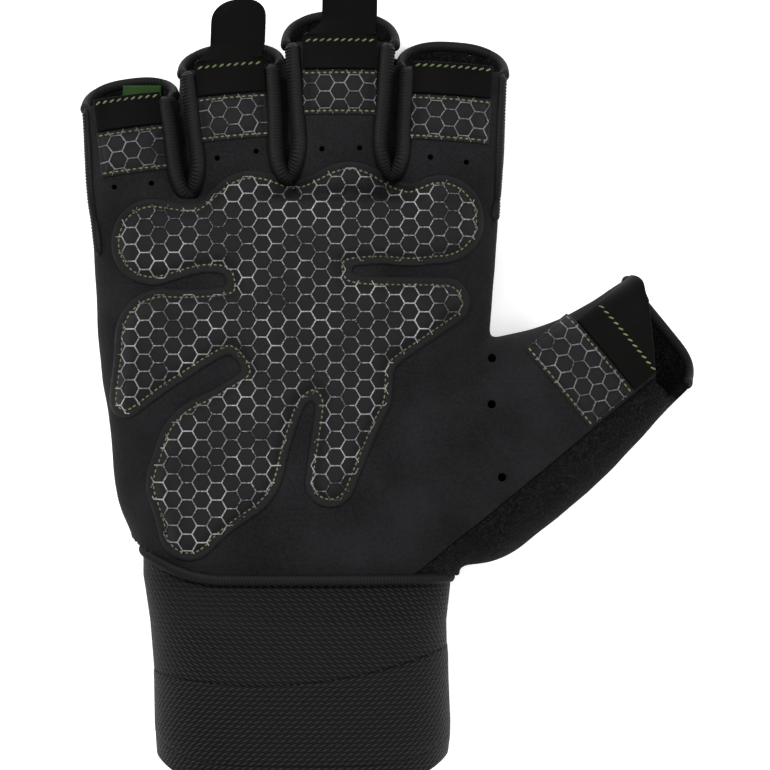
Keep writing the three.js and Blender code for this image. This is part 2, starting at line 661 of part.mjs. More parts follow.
const little = MEASURES.get("little");
piece("inner_label",
  oblong(little.frame, little.length + LABEL_REACH - LABEL_LENGTH, little.length + LABEL_REACH,
    LABEL_SHIFT - LABEL_WIDTH / 2, LABEL_SHIFT + LABEL_WIDTH / 2, LABEL_HEIGHT,
    LABEL_HEIGHT + LABEL_THICKNESS), "label");

export default group;
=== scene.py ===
"""A right-hand, half-finger weightlifting glove with a wrist wrap, lying on its back, palm up."""

import logging
import math
from contextlib import contextmanager
from dataclasses import dataclass, field
from enum import Enum
from typing import Callable, Iterator, Sequence

import bmesh
import bpy
import numpy as np
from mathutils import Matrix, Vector, noise
from mathutils.bvhtree import BVHTree

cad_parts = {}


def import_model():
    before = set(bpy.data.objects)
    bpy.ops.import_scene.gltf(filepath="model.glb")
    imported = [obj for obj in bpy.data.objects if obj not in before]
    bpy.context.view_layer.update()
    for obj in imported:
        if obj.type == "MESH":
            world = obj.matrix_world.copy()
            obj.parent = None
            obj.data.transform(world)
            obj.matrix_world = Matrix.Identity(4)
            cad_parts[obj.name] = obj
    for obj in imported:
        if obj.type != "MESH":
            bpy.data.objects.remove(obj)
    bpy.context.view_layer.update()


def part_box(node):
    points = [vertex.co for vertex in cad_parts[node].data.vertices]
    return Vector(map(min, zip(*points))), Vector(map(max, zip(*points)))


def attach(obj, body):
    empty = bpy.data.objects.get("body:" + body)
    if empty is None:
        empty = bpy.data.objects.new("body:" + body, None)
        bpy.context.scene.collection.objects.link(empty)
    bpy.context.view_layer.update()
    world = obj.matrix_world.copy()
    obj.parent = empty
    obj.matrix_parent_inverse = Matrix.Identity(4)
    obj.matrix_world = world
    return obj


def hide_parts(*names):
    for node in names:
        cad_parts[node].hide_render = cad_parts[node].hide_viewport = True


LOG = logging.getLogger("glove")
MM = 0.001
# A hair's breadth between pieces that touch, in millimetres.
GAP = 0.3
# The distance given where an edge doesn't reach, in millimetres.
NOWHERE = -99.0
TINY = 1e-6
VANISHING = 1e-30
# How near a cutting plane a point lies on it, and the height of every look down, in metres.
ON_PLANE = 1e-7
LOOK_FROM = 0.2
# How near two points of a flat mesh are merged, in millimetres.
WELD_MM = 0.01
# The fewest points of a traced line.
SHORTEST_LINE = 12
# Shifts the creases' noise away from that of the hollows.
CREASE_SHIFT = Vector((7, 3, 1))
# Rings from one binding rib to the next.
RIB_STEPS = 4
# Points of a stitch row, a slot roll, a side binding and the wrist seam, and the span that evens a roll.
ROW_POINTS = 30
ROLL_POINTS = 120
ROLL_SPAN = 9
SIDE_POINTS = 60
SEAM_POINTS = 240
# The label's height over its solid, its waves a metre, their depth and its wall, in millimetres.
LABEL_LIFT = 0.9
LABEL_WAVES = 260
LABEL_DEPTH = 0.5
LABEL_WALL = 0.6
SENSOR_MM = 36
Box = tuple[float, float, float, float]
Look = tuple[Vector | None, Vector | None, int | None, float | None]
Plan = Callable[[np.ndarray, np.ndarray], np.ndarray]


def linear(hex_colour: str) -> tuple[float, float, float, float]:
    """Turn an sRGB hex colour to linear light.

    Args:
        hex_colour: Six hex digits, such as "1d1d1f".

    Returns:
        Red, green, blue and an alpha of 1.
    """
    values = [int(hex_colour[i : i + 2], 16) / 255 for i in (0, 2, 4)]
    lit = [v / 12.92 if v <= 0.04045 else ((v + 0.055) / 1.055) ** 2.4 for v in values]
    return (lit[0], lit[1], lit[2], 1.0)


class Slot(Enum):
    """The record's material slots."""

    LEATHER = "palm_leather"
    TOWEL = "towelling"
    SILICONE = "silicone_grip"
    RIM = "rim_leather"
    ELASTIC = "ribbed_elastic"
    OLIVE = "olive_trim"


@dataclass(frozen=True)
class Finish:
    """A material on the principled shader, with helpers to add its nodes.

    Attributes:
        name: The real material's name.
        dark: Its darker colour, as sRGB hex digits.
        light: Its lighter colour.
        roughness: How matte it is.
        sheen: How strongly its nap catches light.
        specular: How strongly it mirrors light.
        bump_mm: How deep its relief is.
        blotch_mm: How wide its lighter and darker spots are.
        low: The share at which the darker colour ends.
        high: The share at which the lighter colour begins.
        glow: How much of its own colour it gives off.
        grain: How fine its grain is, in grains a metre.
    """

    name: str
    dark: str
    light: str
    roughness: float
    sheen: float = 0.0
    specular: float = 0.5
    bump_mm: float = 0.1
    blotch_mm: float = 18.0
    low: float = 0.3
    high: float = 0.75
    glow: float = 0.0
    grain: float = 1500.0

    def add(self, tree: bpy.types.NodeTree, kind: str, settings: dict[str | int, object],
            links: dict[str | int, bpy.types.NodeSocket]) -> bpy.types.Node:
        """Add a node with its settings and links.

        Args:
            tree: The material's node tree.
            kind: The node's type name.
            settings: Input names, input numbers or attributes with their values.
            links: Input names or numbers with the sockets that feed them.

        Returns:
            The new node.
        """
        node = tree.nodes.new(kind)
        for key, value in settings.items():
            if isinstance(key, int) or key in node.inputs:
                node.inputs[key].default_value = value
            else:
                setattr(node, key, value)
        for key, socket in links.items():
            tree.links.new(socket, node.inputs[key])
        return node

    def relief(self, tree: bpy.types.NodeTree) -> tuple[bpy.types.NodeSocket, bpy.types.NodeSocket]:
        """Give the height of the surface's relief and the share of its lighter colour.

        Args:
            tree: The material's node tree.

        Returns:
            The height socket and the colour share socket.
        """
        place = self.add(tree, "ShaderNodeTexCoord", {}, {})
        grain = self.add(tree, "ShaderNodeTexNoise", {"Scale": self.grain, "Detail": 3.0, "Roughness": 0.7},
                         {"Vector": place.outputs["Object"]})
        blotch = self.add(tree, "ShaderNodeTexNoise", {"Scale": 1000 / self.blotch_mm, "Detail": 4.0},
                          {"Vector": place.outputs["Object"]})
        both = self.add(tree, "ShaderNodeMath", {"operation": "ADD"},
                        {0: grain.outputs["Fac"], 1: blotch.outputs["Fac"]})
        half = self.add(tree, "ShaderNodeMath", {"operation": "MULTIPLY", 1: 0.5}, {0: both.outputs["Value"]})
        return grain.outputs["Fac"], half.outputs["Value"]

    def build(self) -> bpy.types.Material:
        """Make the material.

        Returns:
            The material, with its colour, sheen, roughness and bump.
        """
        material = bpy.data.materials.new(self.name)
        material.use_nodes = True
        tree = material.node_tree
        shader = tree.nodes["Principled BSDF"]
        shader.inputs["Roughness"].default_value = self.roughness
        shader.inputs["Sheen Weight"].default_value = self.sheen
        shader.inputs["Sheen Roughness"].default_value = 0.5
        shader.inputs["Specular IOR Level"].default_value = self.specular
        shader.inputs["Emission Color"].default_value = linear(self.light)
        shader.inputs["Emission Strength"].default_value = self.glow
        height, share = self.relief(tree)
        ramp = self.add(tree, "ShaderNodeValToRGB", {}, {"Fac": share})
        ramp.color_ramp.elements[0].position = self.low
        ramp.color_ramp.elements[0].color = linear(self.dark)
        ramp.color_ramp.elements[1].position = self.high
        ramp.color_ramp.elements[1].color = linear(self.light)
        bump = self.add(tree, "ShaderNodeBump", {"Strength": 1.0, "Distance": self.bump_mm * MM},
                        {"Height": height})
        tree.links.new(ramp.outputs["Color"], shader.inputs["Base Color"])
        tree.links.new(bump.outputs["Normal"], shader.inputs["Normal"])
        return material


@dataclass(frozen=True)
class Terry(Finish):
    """Looped stretch towelling: loops a little over 1 mm across that break up the light."""

    loop_mm: float = 1.25

    def relief(self, tree: bpy.types.NodeTree) -> tuple[bpy.types.NodeSocket, bpy.types.NodeSocket]:
        """Give the loops' height, and a colour share that follows it and paints shade between the loops.

        Args:
            tree: The material's node tree.

        Returns:
            The height socket and the colour share socket.
        """
        place = self.add(tree, "ShaderNodeTexCoord", {}, {})
        loops = self.add(tree, "ShaderNodeTexNoise",
                         {"Scale": 1000 / self.loop_mm, "Detail": 2.5, "Roughness": 0.6, "Distortion": 2.2},
                         {"Vector": place.outputs["Object"]})
        # The colour follows the height, so the dips between the loops get painted shade.
        return loops.outputs["Fac"], loops.outputs["Fac"]


@dataclass(frozen=True)
class Woven(Finish):
    """Woven elastic: short slanted floats in rows, from the piece's own map in millimetres."""

    slant: float = 0.7
    stagger: float = 0.4
    float_mm: float = 1.85
    row_mm: float = 1.15
    sunk: float = 0.35

    def relief(self, tree: bpy.types.NodeTree) -> tuple[bpy.types.NodeSocket, bpy.types.NodeSocket]:
        """Give the floats' height, and a colour share that follows it and paints shade on the sunk threads.

        Args:
            tree: The material's node tree.

        Returns:
            The height socket and the colour share socket.
        """
        place = self.add(tree, "ShaderNodeUVMap", {"uv_map": "cloth"}, {})
        parts = self.add(tree, "ShaderNodeSeparateXYZ", {}, {"Vector": place.outputs["UV"]})
        found = {"across": parts.outputs["X"], "along": parts.outputs["Y"]}
        # Each step's name, what it works out, the step it takes and a second step or a number.
        steps = (
            ("row", "DIVIDE", "along", self.row_mm),
            ("whole", "FLOOR", "row", 0.0),
            ("inside", "FRACT", "row", 0.0),
            ("offset", "MULTIPLY", "whole", self.slant + self.stagger),
            ("lean", "MULTIPLY", "inside", self.slant),
            ("float", "DIVIDE", "across", self.float_mm),
            ("shifted", "ADD", "float", "offset"),
            ("phase", "ADD", "shifted", "lean"),
            ("turn", "MULTIPLY", "phase", 2 * math.pi),
            ("wave", "SINE", "turn", 0.0),
            ("half_turn", "MULTIPLY", "inside", math.pi),
            ("crown", "SINE", "half_turn", 0.0),
            # Threads between the floats and between the rows lie at the same depth.
            ("capped", "MAXIMUM", "wave", -self.sunk),
            ("lifted", "ADD", "capped", self.sunk),
            ("height", "MULTIPLY", "lifted", "crown"),
            # The colour follows the height, so the sunk threads between the floats get painted shade.
            ("share", "DIVIDE", "height", 1 + self.sunk),
        )
        for name, operation, first, second in steps:
            settings = {"operation": operation}
            links = {0: found[first]}
            if isinstance(second, str):
                links[1] = found[second]
            else:
                settings[1] = second
            found[name] = self.add(tree, "ShaderNodeMath", settings, links).outputs["Value"]
        return found["height"], found["share"]


# Buffed microfibre suede: a short matte nap with faint lighter rubs.
SUEDE = Finish("buffed_microfibre_suede", "0f0f10", "202022", 0.95, sheen=0.015, specular=0.1, bump_mm=0.22,
               low=0.36, high=0.66)
# The same suede over foam, darker where the printed web keeps hands off it.
PAD_SUEDE = Finish("padded_microfibre_suede", "0f0f10", "18181a", 0.8, sheen=0.01, specular=0.2, bump_mm=0.12)
# Smooth synthetic leather, turned over at the mouths.
RIM = Finish("turned_smooth_synthetic_leather", "030403", "090a08", 0.65, specular=0.05, bump_mm=0.06)
# Looped stretch towelling, with painted shade that turns it nearly black between its loops.
TERRY = Terry("looped_stretch_towelling", "020203", "222224", 0.98, sheen=0.01, specular=0.1, bump_mm=1.3,
              low=0.46, high=0.74)
# Printed silicone: glossy grey ridges, whose lighter spots are painted highlights.
SILICONE = Finish("moulded_glossy_silicone", "1c1c1e", "c2c2c6", 0.3, specular=0.6, bump_mm=0.12,
                  blotch_mm=9.0, low=0.42, high=0.68)
# The same silicone on the fingers, darker and duller, with fainter painted highlights in its lighter spots.
STRIP_SILICONE = Finish("strip_glossy_silicone", "19191b", "8a8a8e", 0.4, specular=0.5, bump_mm=0.12,
                       blotch_mm=6.0, low=0.4, high=0.66)
# Nylon tape, folded in fine ribs over an edge.
BINDING = Finish("folded_nylon_binding", "0b0b0c", "151516", 0.6, specular=0.14, bump_mm=0.1)
# Woven elastic, whose floats fall to the right on the upper turn and rise on the lower; the sunk threads
# between the floats are painted dark as shade.
UPPER_WEAVE = Woven("woven_elastic_falling_floats", "020203", "363638", 0.65, specular=0.16, bump_mm=0.9,
                    low=0.1, high=0.8, slant=1.05)
LOWER_WEAVE = Woven("woven_elastic_rising_floats", "020203", "363638", 0.65, specular=0.16, bump_mm=0.9,
                    low=0.1, high=0.8, slant=-1.05)
# Polyester sewing thread, olive.
THREAD = Finish("polyester_sewing_thread_olive", "36442a", "7c8b60", 0.6, specular=0.35, bump_mm=0.03)
# Woven label cloth, olive green.
LABEL = Finish("olive_woven_label_cloth", "1d3515", "2f4d22", 0.85, specular=0.2, bump_mm=0.1)
# Matte white card that glows a little, so that it stays white in the picture.
FLOOR = Finish("matte_white_card", "fafafa", "fdfdfd", 0.9, specular=0.1, bump_mm=0.0, glow=0.45)

_MADE: dict[str, bpy.types.Material] = {}


def material_of(finish: Finish) -> bpy.types.Material:
    """Build a finish once and give it again afterwards.

    Args:
        finish: The finish.

    Returns:
        Its material.
    """
    if finish.name not in _MADE:
        _MADE[finish.name] = finish.build()
    return _MADE[finish.name]


def mesh_object(name: str, points: np.ndarray, faces: Sequence[Sequence[int]]) -> bpy.types.Object:
    """Make a mesh object from points in millimetres.

    Args:
        name: The piece's name.
        points: An array of points, one a row.
        faces: Lists of point indices.

    Returns:
        The object, linked to the scene.
    """
    mesh = bpy.data.meshes.new(name)
    mesh.from_pydata((np.asarray(points) * MM).tolist(), [], [list(map(int, f)) for f in faces])
    made = bpy.data.objects.new(name, mesh)
    bpy.context.collection.objects.link(made)
    return made


def unit(vectors: np.ndarray) -> np.ndarray:
    """Scale vectors to length one.

    Args:
        vectors: The vectors, along the last axis.

    Returns:
        The unit vectors.
    """
    return vectors / np.maximum(np.linalg.norm(vectors, axis=-1, keepdims=True), TINY)


def superellipse(sides: int, roundness: float) -> tuple[np.ndarray, np.ndarray]:
    """Give the points of a unit superellipse, the section of all that a hand fills.

    Args:
        sides: How many points it has.
        roundness: Its power; 2 is a circle.

    Returns:
        The places across and up, from -1 to 1.
    """
    angle = (np.arange(sides) + 0.5) / sides * 2 * np.pi
    across, up = (np.sign(f) * np.abs(f) ** (2 / roundness) for f in (np.cos(angle), np.sin(angle)))
    return across, up


def ring_faces(rings: int, sides: int, closed: bool = False) -> list[list[int]]:
    """Join rings of points with four-sided faces.

    Args:
        rings: How many rings there are.
        sides: How many points each has.
        closed: Whether the last ring is joined to the first.

    Returns:
        The faces' point indices.
    """
    pairs = [(r * sides, (r + 1) % rings * sides) for r in range(rings if closed else rings - 1)]
    return [[a + i, a + (i + 1) % sides, b + (i + 1) % sides, b + i] for a, b in pairs for i in range(sides)]


def grid_faces(rows: int, columns: int) -> list[list[int]]:
    """Join a grid of points with four-sided faces.

    Args:
        rows: How many rows of faces there are.
        columns: How many faces a row has.

    Returns:
        The faces' point indices.
    """
    n = columns + 1
    return [[a, a + 1, a + n + 1, a + n] for a in (r * n + c for r in range(rows) for c in range(columns))]


def rows_between(rows: np.ndarray, count: int) -> np.ndarray:
    """Smooth a table of sections by a curve through its rows.

    Args:
        rows: The table, whose first column is the place.
        count: How many rows to give.

    Returns:
        The smoothed table.
    """
    slopes = np.gradient(rows[:, 1:], rows[:, 0], axis=0)
    made = []
    for place in np.linspace(rows[0, 0], rows[-1, 0], count):
        i = min(max(int(np.searchsorted(rows[:, 0], place)) - 1, 0), len(rows) - 2)
        step = rows[i + 1, 0] - rows[i, 0]
        t = (place - rows[i, 0]) / step
        a, b = rows[i, 1:], rows[i + 1, 1:]
        value = (a * (2 * t**3 - 3 * t**2 + 1) + b * (3 * t**2 - 2 * t**3)
                 + slopes[i] * step * (t**3 - 2 * t**2 + t) + slopes[i + 1] * step * (t**3 - t**2))
        made.append([place, *value])
    return np.array(made)


@contextmanager
def editing(piece: bpy.types.Object) -> Iterator[bmesh.types.BMesh]:
    """Open a piece's mesh for editing, and write it back at the end.

    Args:
        piece: The piece.

    Yields:
        Its open mesh.
    """
    shape = bmesh.new()
    shape.from_mesh(piece.data)
    yield shape
    shape.to_mesh(piece.data)
    shape.free()


def cut_at(shape: bmesh.types.BMesh, place: Sequence[float], normal: Sequence[float],
           clear: bool = False) -> None:
    """Cut an open mesh along a plane.

    Args:
        shape: The open mesh.
        place: A point of the plane.
        normal: The plane's normal.
        clear: Whether what lies on the normal's side is dropped.
    """
    bmesh.ops.bisect_plane(shape, geom=shape.verts[:] + shape.edges[:] + shape.faces[:], plane_co=place,
                           plane_no=normal, clear_outer=clear, dist=ON_PLANE)


def select_only(*pieces: bpy.types.Object) -> None:
    """Select pieces and nothing else, with the first one active.

    Args:
        pieces: The pieces.
    """
    bpy.ops.object.select_all(action="DESELECT")
    for piece in pieces:
        piece.select_set(True)
    bpy.context.view_layer.objects.active = pieces[0]


def add_wall(piece: bpy.types.Object, wall_mm: float) -> None:
    """Give a piece a modifier that makes its wall, on the inside.

    Args:
        piece: The piece.
        wall_mm: The wall in millimetres.
    """
    solid = piece.modifiers.new("wall", "SOLIDIFY")
    solid.thickness = wall_mm * MM
    solid.offset = -1


def add_bevel(piece: bpy.types.Object, width_mm: float, segments: int) -> None:
    """Give a piece a modifier that rounds its edges.

    Args:
        piece: The piece.
        width_mm: The rounding's width in millimetres.
        segments: How many faces it takes.
    """
    bevel = piece.modifiers.new("edge", "BEVEL")
    bevel.width = width_mm * MM
    bevel.segments = segments
    bevel.limit_method = "ANGLE"


def face_outwards(piece: bpy.types.Object, weld_mm: float = 0.001) -> None:
    """Merge a mesh's doubles and turn its faces outwards.

    Args:
        piece: The piece.
        weld_mm: How near two points are merged, in millimetres.
    """
    with editing(piece) as shape:
        bmesh.ops.remove_doubles(shape, verts=shape.verts[:], dist=weld_mm * MM)
        bmesh.ops.recalc_face_normals(shape, faces=shape.faces[:])


def apply_modifiers(piece: bpy.types.Object) -> None:
    """Apply every modifier of a piece, in order.

    Args:
        piece: The piece.
    """
    select_only(piece)
    for modifier in list(piece.modifiers):
        bpy.ops.object.modifier_apply(modifier=modifier.name)


def finish_piece(piece: bpy.types.Object, finish: Finish, slot: Slot, *nodes: str) -> bpy.types.Object:
    """Dress a piece, set it on the glove and hide the solids it stands for.

    Args:
        piece: The object.
        finish: Its finish.
        slot: The record's slot; not used.
        nodes: The CAD nodes that it replaces.

    Returns:
        The same object.
    """
    piece.data.materials.clear()
    piece.data.materials.append(material_of(finish))
    for face in piece.data.polygons:
        face.use_smooth = True
    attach(piece, "root")
    if nodes:
        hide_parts(*nodes)
    LOG.info("%s: %d faces", piece.name, len(piece.data.polygons))
    return piece


@dataclass(frozen=True)
class Frame2:
    """A frame in the plan: along its direction, and across to the right of it."""

    x: float
    y: float
    angle: float

    def point(self, along: float, across: float) -> np.ndarray:
        """Give the plan point at a place in the frame.

        Args:
            along: The distance along the frame.
            across: The distance to the right of it.

        Returns:
            The point's x and y.
        """
        c, s = math.cos(self.angle), math.sin(self.angle)
        return np.array([self.x + along * c + across * s, self.y + along * s - across * c])

    def local(self, points: np.ndarray) -> tuple[np.ndarray, np.ndarray]:
        """Give the places along and across the frame of plan points.

        Args:
            points: An array whose first two columns are x and y.

        Returns:
            The distances along and across.
        """
        c, s = math.cos(self.angle), math.sin(self.angle)
        dx, dy = points[..., 0] - self.x, points[..., 1] - self.y
        return dx * c + dy * s, dx * s - dy * c


@dataclass(frozen=True)
class Stall:
    """One stall of the glove, in millimetres."""

    name: str
    frame: Frame2
    length: float
    width: float
    root_width: float
    lip: float
    panel: float
    tab: bool

    @property
    def half(self) -> float:
        """Half of the leather front's width."""
        return self.panel / 2


@dataclass
class HandForm:
    """The rounded form of the hand, which everything sewn on the glove lies on."""

    palm_width: float = 104.0
    palm_length: float = 102.0
    palm_height: float = 34.0
    stall_length: float = 31.4
    stall_width: float = 28.6
    stall_height: float = 23.0
    lip_length: float = 8.7
    thumb_length: float = 82.0
    thumb_width: float = 31.0
    thumb_height: float = 26.0
    thumb_angle: float = 39.2
    thumb_retreat: float = 10.0
    wrist_rise: float = 8.0
    flat_sink: float = 1.5
    root_depth: float = 0.16
    roundness: float = 2.5
    voxel: float = 1.0
    swell: float = 0.4
    sides: int = 96
    # The seam's place down the palm, and where it starts to climb towards the little finger.
    wrist_share: float = -0.487
    rise_start: float = 0.45
    # How far the lofts run past their open ends.
    wrist_overrun: float = 6.0
    stall_overrun: float = 16.0
    thumb_overrun: float = 8.0
    loft_rows: int = 30
    stall_loft_rows: int = 24
    smoothings: int = 14
    # Shares of a stall's root width and of the palm's height where its loft starts inside the palm.
    inner_root: tuple[float, float] = (0.8, 0.66)
    swell_at: float = 0.55
    # How the thumb's mouth is cut back across its front and down its side.
    cut_start: float = -0.56
    cut_span: float = 0.98
    cut_most: float = 1.2
    side_cut: float = 0.5
    side_cut_power: int = 6
    # The cloth's hollows and creases, which fade out below flat_mm, and the side seam's height.
    hollow_mm: float = 21.0
    hollow_depth: float = 0.55
    crease_mm: float = 9.0
    crease_depth: float = 0.22
    flat_mm: float = 8.0
    seam_height: float = 12.0
    # Shares of the palm's length, width, width and height, from the wrist seam up.
    palm_rows: tuple[tuple[float, float, float, float], ...] = (
        (0.0, -0.375, 0.402, 1.1), (0.1, -0.392, 0.425, 1.1), (0.18, -0.424, 0.442, 1.08),
        (0.3, -0.442, 0.458, 1.04), (0.48, -0.464, 0.471, 1.0), (0.75, -0.487, 0.49, 0.9),
        (0.93, -0.498, 0.505, 0.8),
    )
    # Shares of the thumb's length, width, width and height.
    thumb_rows: tuple[tuple[float, float, float, float], ...] = (
        (0.02, 0.06, 1.2, 1.15), (0.12, -0.09, 1.3, 1.32), (0.3, -0.14, 1.42, 1.34),
        (0.58, -0.125, 1.29, 1.2), (0.68, -0.09, 1.16, 1.12), (0.8, -0.045, 1.06, 1.04),
        (1.0, 0.0, 1.0, 1.0),
    )
    # Name, root x, root y, root width, mouth x, width, length, lip, panel and whether it has a tab.
    stall_rows: tuple[tuple[str, float, float, float, float, float, float, float, float, bool], ...] = (
        ("little", -0.375, 0.46, 0.252, -0.406, 0.82, 0.771, 0.7, 0.74, False),
        ("ring", -0.131, 0.5, 0.25, -0.155, 0.905, 0.917, 0.76, 0.68, True),
        ("middle", 0.115, 0.537, 0.256, 0.115, 1.0, 1.0, 1.0, 0.66, True),
        ("index", 0.374, 0.513, 0.274, 0.392, 0.955, 0.86, 0.85, 0.76, False),
    )
    stalls: dict[str, Stall] = field(default_factory=dict)
    body: bpy.types.Object | None = None
    tree: BVHTree | None = None

    def __post_init__(self) -> None:
        """Work out the stalls' places from the shares."""
        self.wrist_y = self.wrist_share * self.palm_length
        for name, rx, ry, rw, mx, width, length, lip, panel, tab in self.stall_rows:
            rise = length * self.stall_length
            lean = (mx - rx) * self.palm_width
            frame = Frame2(rx * self.palm_width, ry * self.palm_length, math.atan2(rise, lean))
            self.stalls[name] = Stall(name, frame, math.hypot(rise, lean), width * self.stall_width,
                                      rw * self.palm_width, lip * self.lip_length,
                                      panel * width * self.stall_width, tab)
        self.thumb = Frame2(self.palm_rows[0][2] * self.palm_width, self.wrist_y - GAP,
                            math.radians(self.thumb_angle))

    def section(self) -> tuple[np.ndarray, np.ndarray]:
        """Give the form's unit section.

        Returns:
            The places across and up, from -1 to 1.
        """
        return superellipse(self.sides, self.roundness)

    def ring(self, frame: Frame2, along: float, left: float, right: float, height: float,
             warp: Plan | None = None) -> np.ndarray:
        """Make one ring of a loft.

        Args:
            frame: The plan frame that the ring stands across.
            along: The ring's place along it.
            left: Its left edge across the frame.
            right: Its right edge across the frame.
            height: Its height above the floor.
            warp: Moves the points along the frame, from their unit places across and up.

        Returns:
            The ring's points.
        """
        u, w = self.section()
        across = (left + right) / 2 + (right - left) / 2 * u
        rows = along + (warp(u, w) if warp else 0) * np.ones_like(u)
        c, s = math.cos(frame.angle), math.sin(frame.angle)
        z = (height - self.flat_sink) / 2 + (height + self.flat_sink) / 2 * w
        return np.stack([frame.x + rows * c + across * s, frame.y + rows * s - across * c,
                         np.maximum(z, 0.0)], axis=1)

    def loft(self, name: str, rings: Sequence[np.ndarray]) -> bpy.types.Object:
        """Skin rings and close both ends.

        Args:
            name: The object's name.
            rings: The rings, in order.

        Returns:
            The closed object.
        """
        n = self.sides
        faces = ring_faces(len(rings), n)
        faces += [list(range(n)), list(range((len(rings) - 1) * n, len(rings) * n))]
        made = mesh_object(name, np.concatenate(rings), faces)
        face_outwards(made)
        return made

    def height_share(self, points: np.ndarray, height: float) -> np.ndarray:
        """Give the points' places up a section, from -1 at its foot to 1 at its top.

        Args:
            points: The points in millimetres.
            height: The section's height.

        Returns:
            The places.
        """
        w = (points[:, 2] - (height - self.flat_sink) / 2) * 2
        return np.clip(w / (height + self.flat_sink), -1, 1)

    def mouth(self, stall: Stall, points: np.ndarray) -> np.ndarray:
        """Give how far points lie past a finger stall's mouth, along the stall.

        Args:
            stall: The stall.
            points: The points in millimetres.

        Returns:
            The distances, below zero inside the stall.
        """
        along, _ = stall.frame.local(points)
        w = self.height_share(points, self.stall_height)
        return along - stall.length - stall.lip * np.maximum(0, -w)

    def thumb_mouth(self, points: np.ndarray) -> np.ndarray:
        """Give how far points lie past the thumb's mouth, along the thumb.

        Args:
            points: The points in millimetres.

        Returns:
            The distances, below zero inside the thumb.
        """
        along, across = self.thumb.local(points)
        u = np.clip((across + self.thumb_width / 2) / (self.thumb_width / 2), -1, 1)
        return along - self.thumb_length - self.thumb_warp(u, self.height_share(points, self.thumb_height))

    def thumb_warp(self, u: np.ndarray, w: np.ndarray) -> np.ndarray:
        """Give how far the thumb's mouth is cut back.

        Args:
            u: The unit places across.
            w: The unit places up.

        Returns:
            The moves along the thumb, below zero.
        """
        share = np.clip((u - self.cut_start) / self.cut_span, 0, self.cut_most)
        cut = share * np.maximum(0, w) + self.side_cut * np.maximum(0, u) ** self.side_cut_power
        return -self.thumb_retreat * cut

    def rise_at(self, x: np.ndarray) -> np.ndarray:
        """Give how far the wrist seam climbs towards the little finger's side.

        Args:
            x: The places across in millimetres.

        Returns:
            The heights over the seam's level part.
        """
        share = x / (self.palm_rows[0][1] * self.palm_width)
        return self.wrist_rise * (np.maximum(0, share - self.rise_start) / (1 - self.rise_start)) ** 2

    def lofts(self) -> list[bpy.types.Object]:
        """Loft the palm, the stalls and the thumb.

        Returns:
            The closed objects, which run into one another.
        """
        wrist = Frame2(0, self.wrist_y, math.pi / 2)
        scale = np.array([self.palm_length, self.palm_width, self.palm_width, self.palm_height])
        rows = rows_between(np.array(self.palm_rows), self.loft_rows) * scale
        rings = [self.ring(wrist, -self.wrist_overrun, *rows[0, 1:])]
        rings += [self.ring(wrist, *row) for row in rows]
        made = [self.loft("form_palm", rings)]
        top = self.palm_rows[-1][3] * self.palm_height
        width_share, height_share = self.inner_root
        at = self.swell_at
        for stall in self.stalls.values():
            table = np.array([
                [-self.root_depth * self.palm_length, width_share * stall.root_width, height_share * top],
                [0, stall.root_width, top],
                [at * stall.length, (1 - at) * stall.root_width + at * stall.width,
                 (1 - at) * top + at * self.stall_height],
                [stall.length, stall.width, self.stall_height],
                [stall.length + self.stall_overrun, stall.width, self.stall_height],
            ])
            sections = rows_between(table, self.stall_loft_rows)
            made.append(self.loft("form_" + stall.name,
                                  [self.ring(stall.frame, a, -w / 2, w / 2, h) for a, w, h in sections]))
        rings = [self.ring(self.thumb, a * self.thumb_length, -far * self.thumb_width,
                           -near * self.thumb_width, h * self.thumb_height)
                 for a, near, far, h in rows_between(np.array(self.thumb_rows), self.loft_rows)]
        rings.append(self.ring(self.thumb, self.thumb_length + self.thumb_overrun, -self.thumb_width, 0,
                               self.thumb_height))
        made.append(self.loft("form_thumb", rings))
        return made

    def build(self) -> None:
        """Melt the lofts into one smooth form."""
        lofts = self.lofts()
        select_only(*lofts)
        bpy.ops.object.join()
        self.body = lofts[0]
        remesh = self.body.modifiers.new("melt", "REMESH")
        remesh.mode = "VOXEL"
        remesh.voxel_size = self.voxel * MM
        remesh.adaptivity = 0.0
        smooth = self.body.modifiers.new("smooth", "SMOOTH")
        smooth.factor = 0.5
        smooth.iterations = self.smoothings
        apply_modifiers(self.body)
        self.crumple()
        with editing(self.body) as shape:
            self.tree = BVHTree.FromBMesh(shape)

    def crumple(self) -> None:
        """Give the form the soft hollows and creases of worn cloth, and press its back flat."""
        mesh = self.body.data
        places = np.array([v.co for v in mesh.vertices]) / MM
        normals = np.array([n.vector for n in mesh.vertex_normals])
        waves = np.array([noise.noise(Vector(p) / self.hollow_mm) * self.hollow_depth
                          + noise.noise(Vector(p) / self.crease_mm + CREASE_SHIFT) * self.crease_depth
                          for p in places])
        share = np.clip(places[:, 2] / self.flat_mm, 0, 1)
        places += normals * (waves * share + self.swell)[:, None]
        places[:, 2] = np.maximum(places[:, 2], 0.0)
        mesh.vertices.foreach_set("co", (places * MM).ravel())
        mesh.update()

    def looks(self, points: np.ndarray) -> list[Look]:
        """Look straight down on the form at plan points.

        Args:
            points: An array whose first two columns are x and y in millimetres.

        Returns:
            What each look meets: the place, the normal, the face and the distance, or none of them.
        """
        return [self.tree.ray_cast(Vector((x * MM, y * MM, LOOK_FROM)), Vector((0, 0, -1)))
                for x, y in points[:, :2]]

    def heights(self, points: np.ndarray) -> np.ndarray:
        """Give the form's upper surface over plan points.

        Args:
            points: An array whose first two columns are x and y in millimetres.

        Returns:
            The heights in millimetres; past the edge, the height of the seam.
        """
        return np.array([look[0].z / MM if look[0] else self.seam_height for look in self.looks(points)])

    def normals(self, points: np.ndarray) -> np.ndarray:
        """Give the form's outward normals under plan points.

        Args:
            points: An array whose first two columns are x and y in millimetres.

        Returns:
            The normals; past the edge, straight up.
        """
        return np.array([look[1] if look[0] else Vector((0, 0, 1)) for look in self.looks(points)])


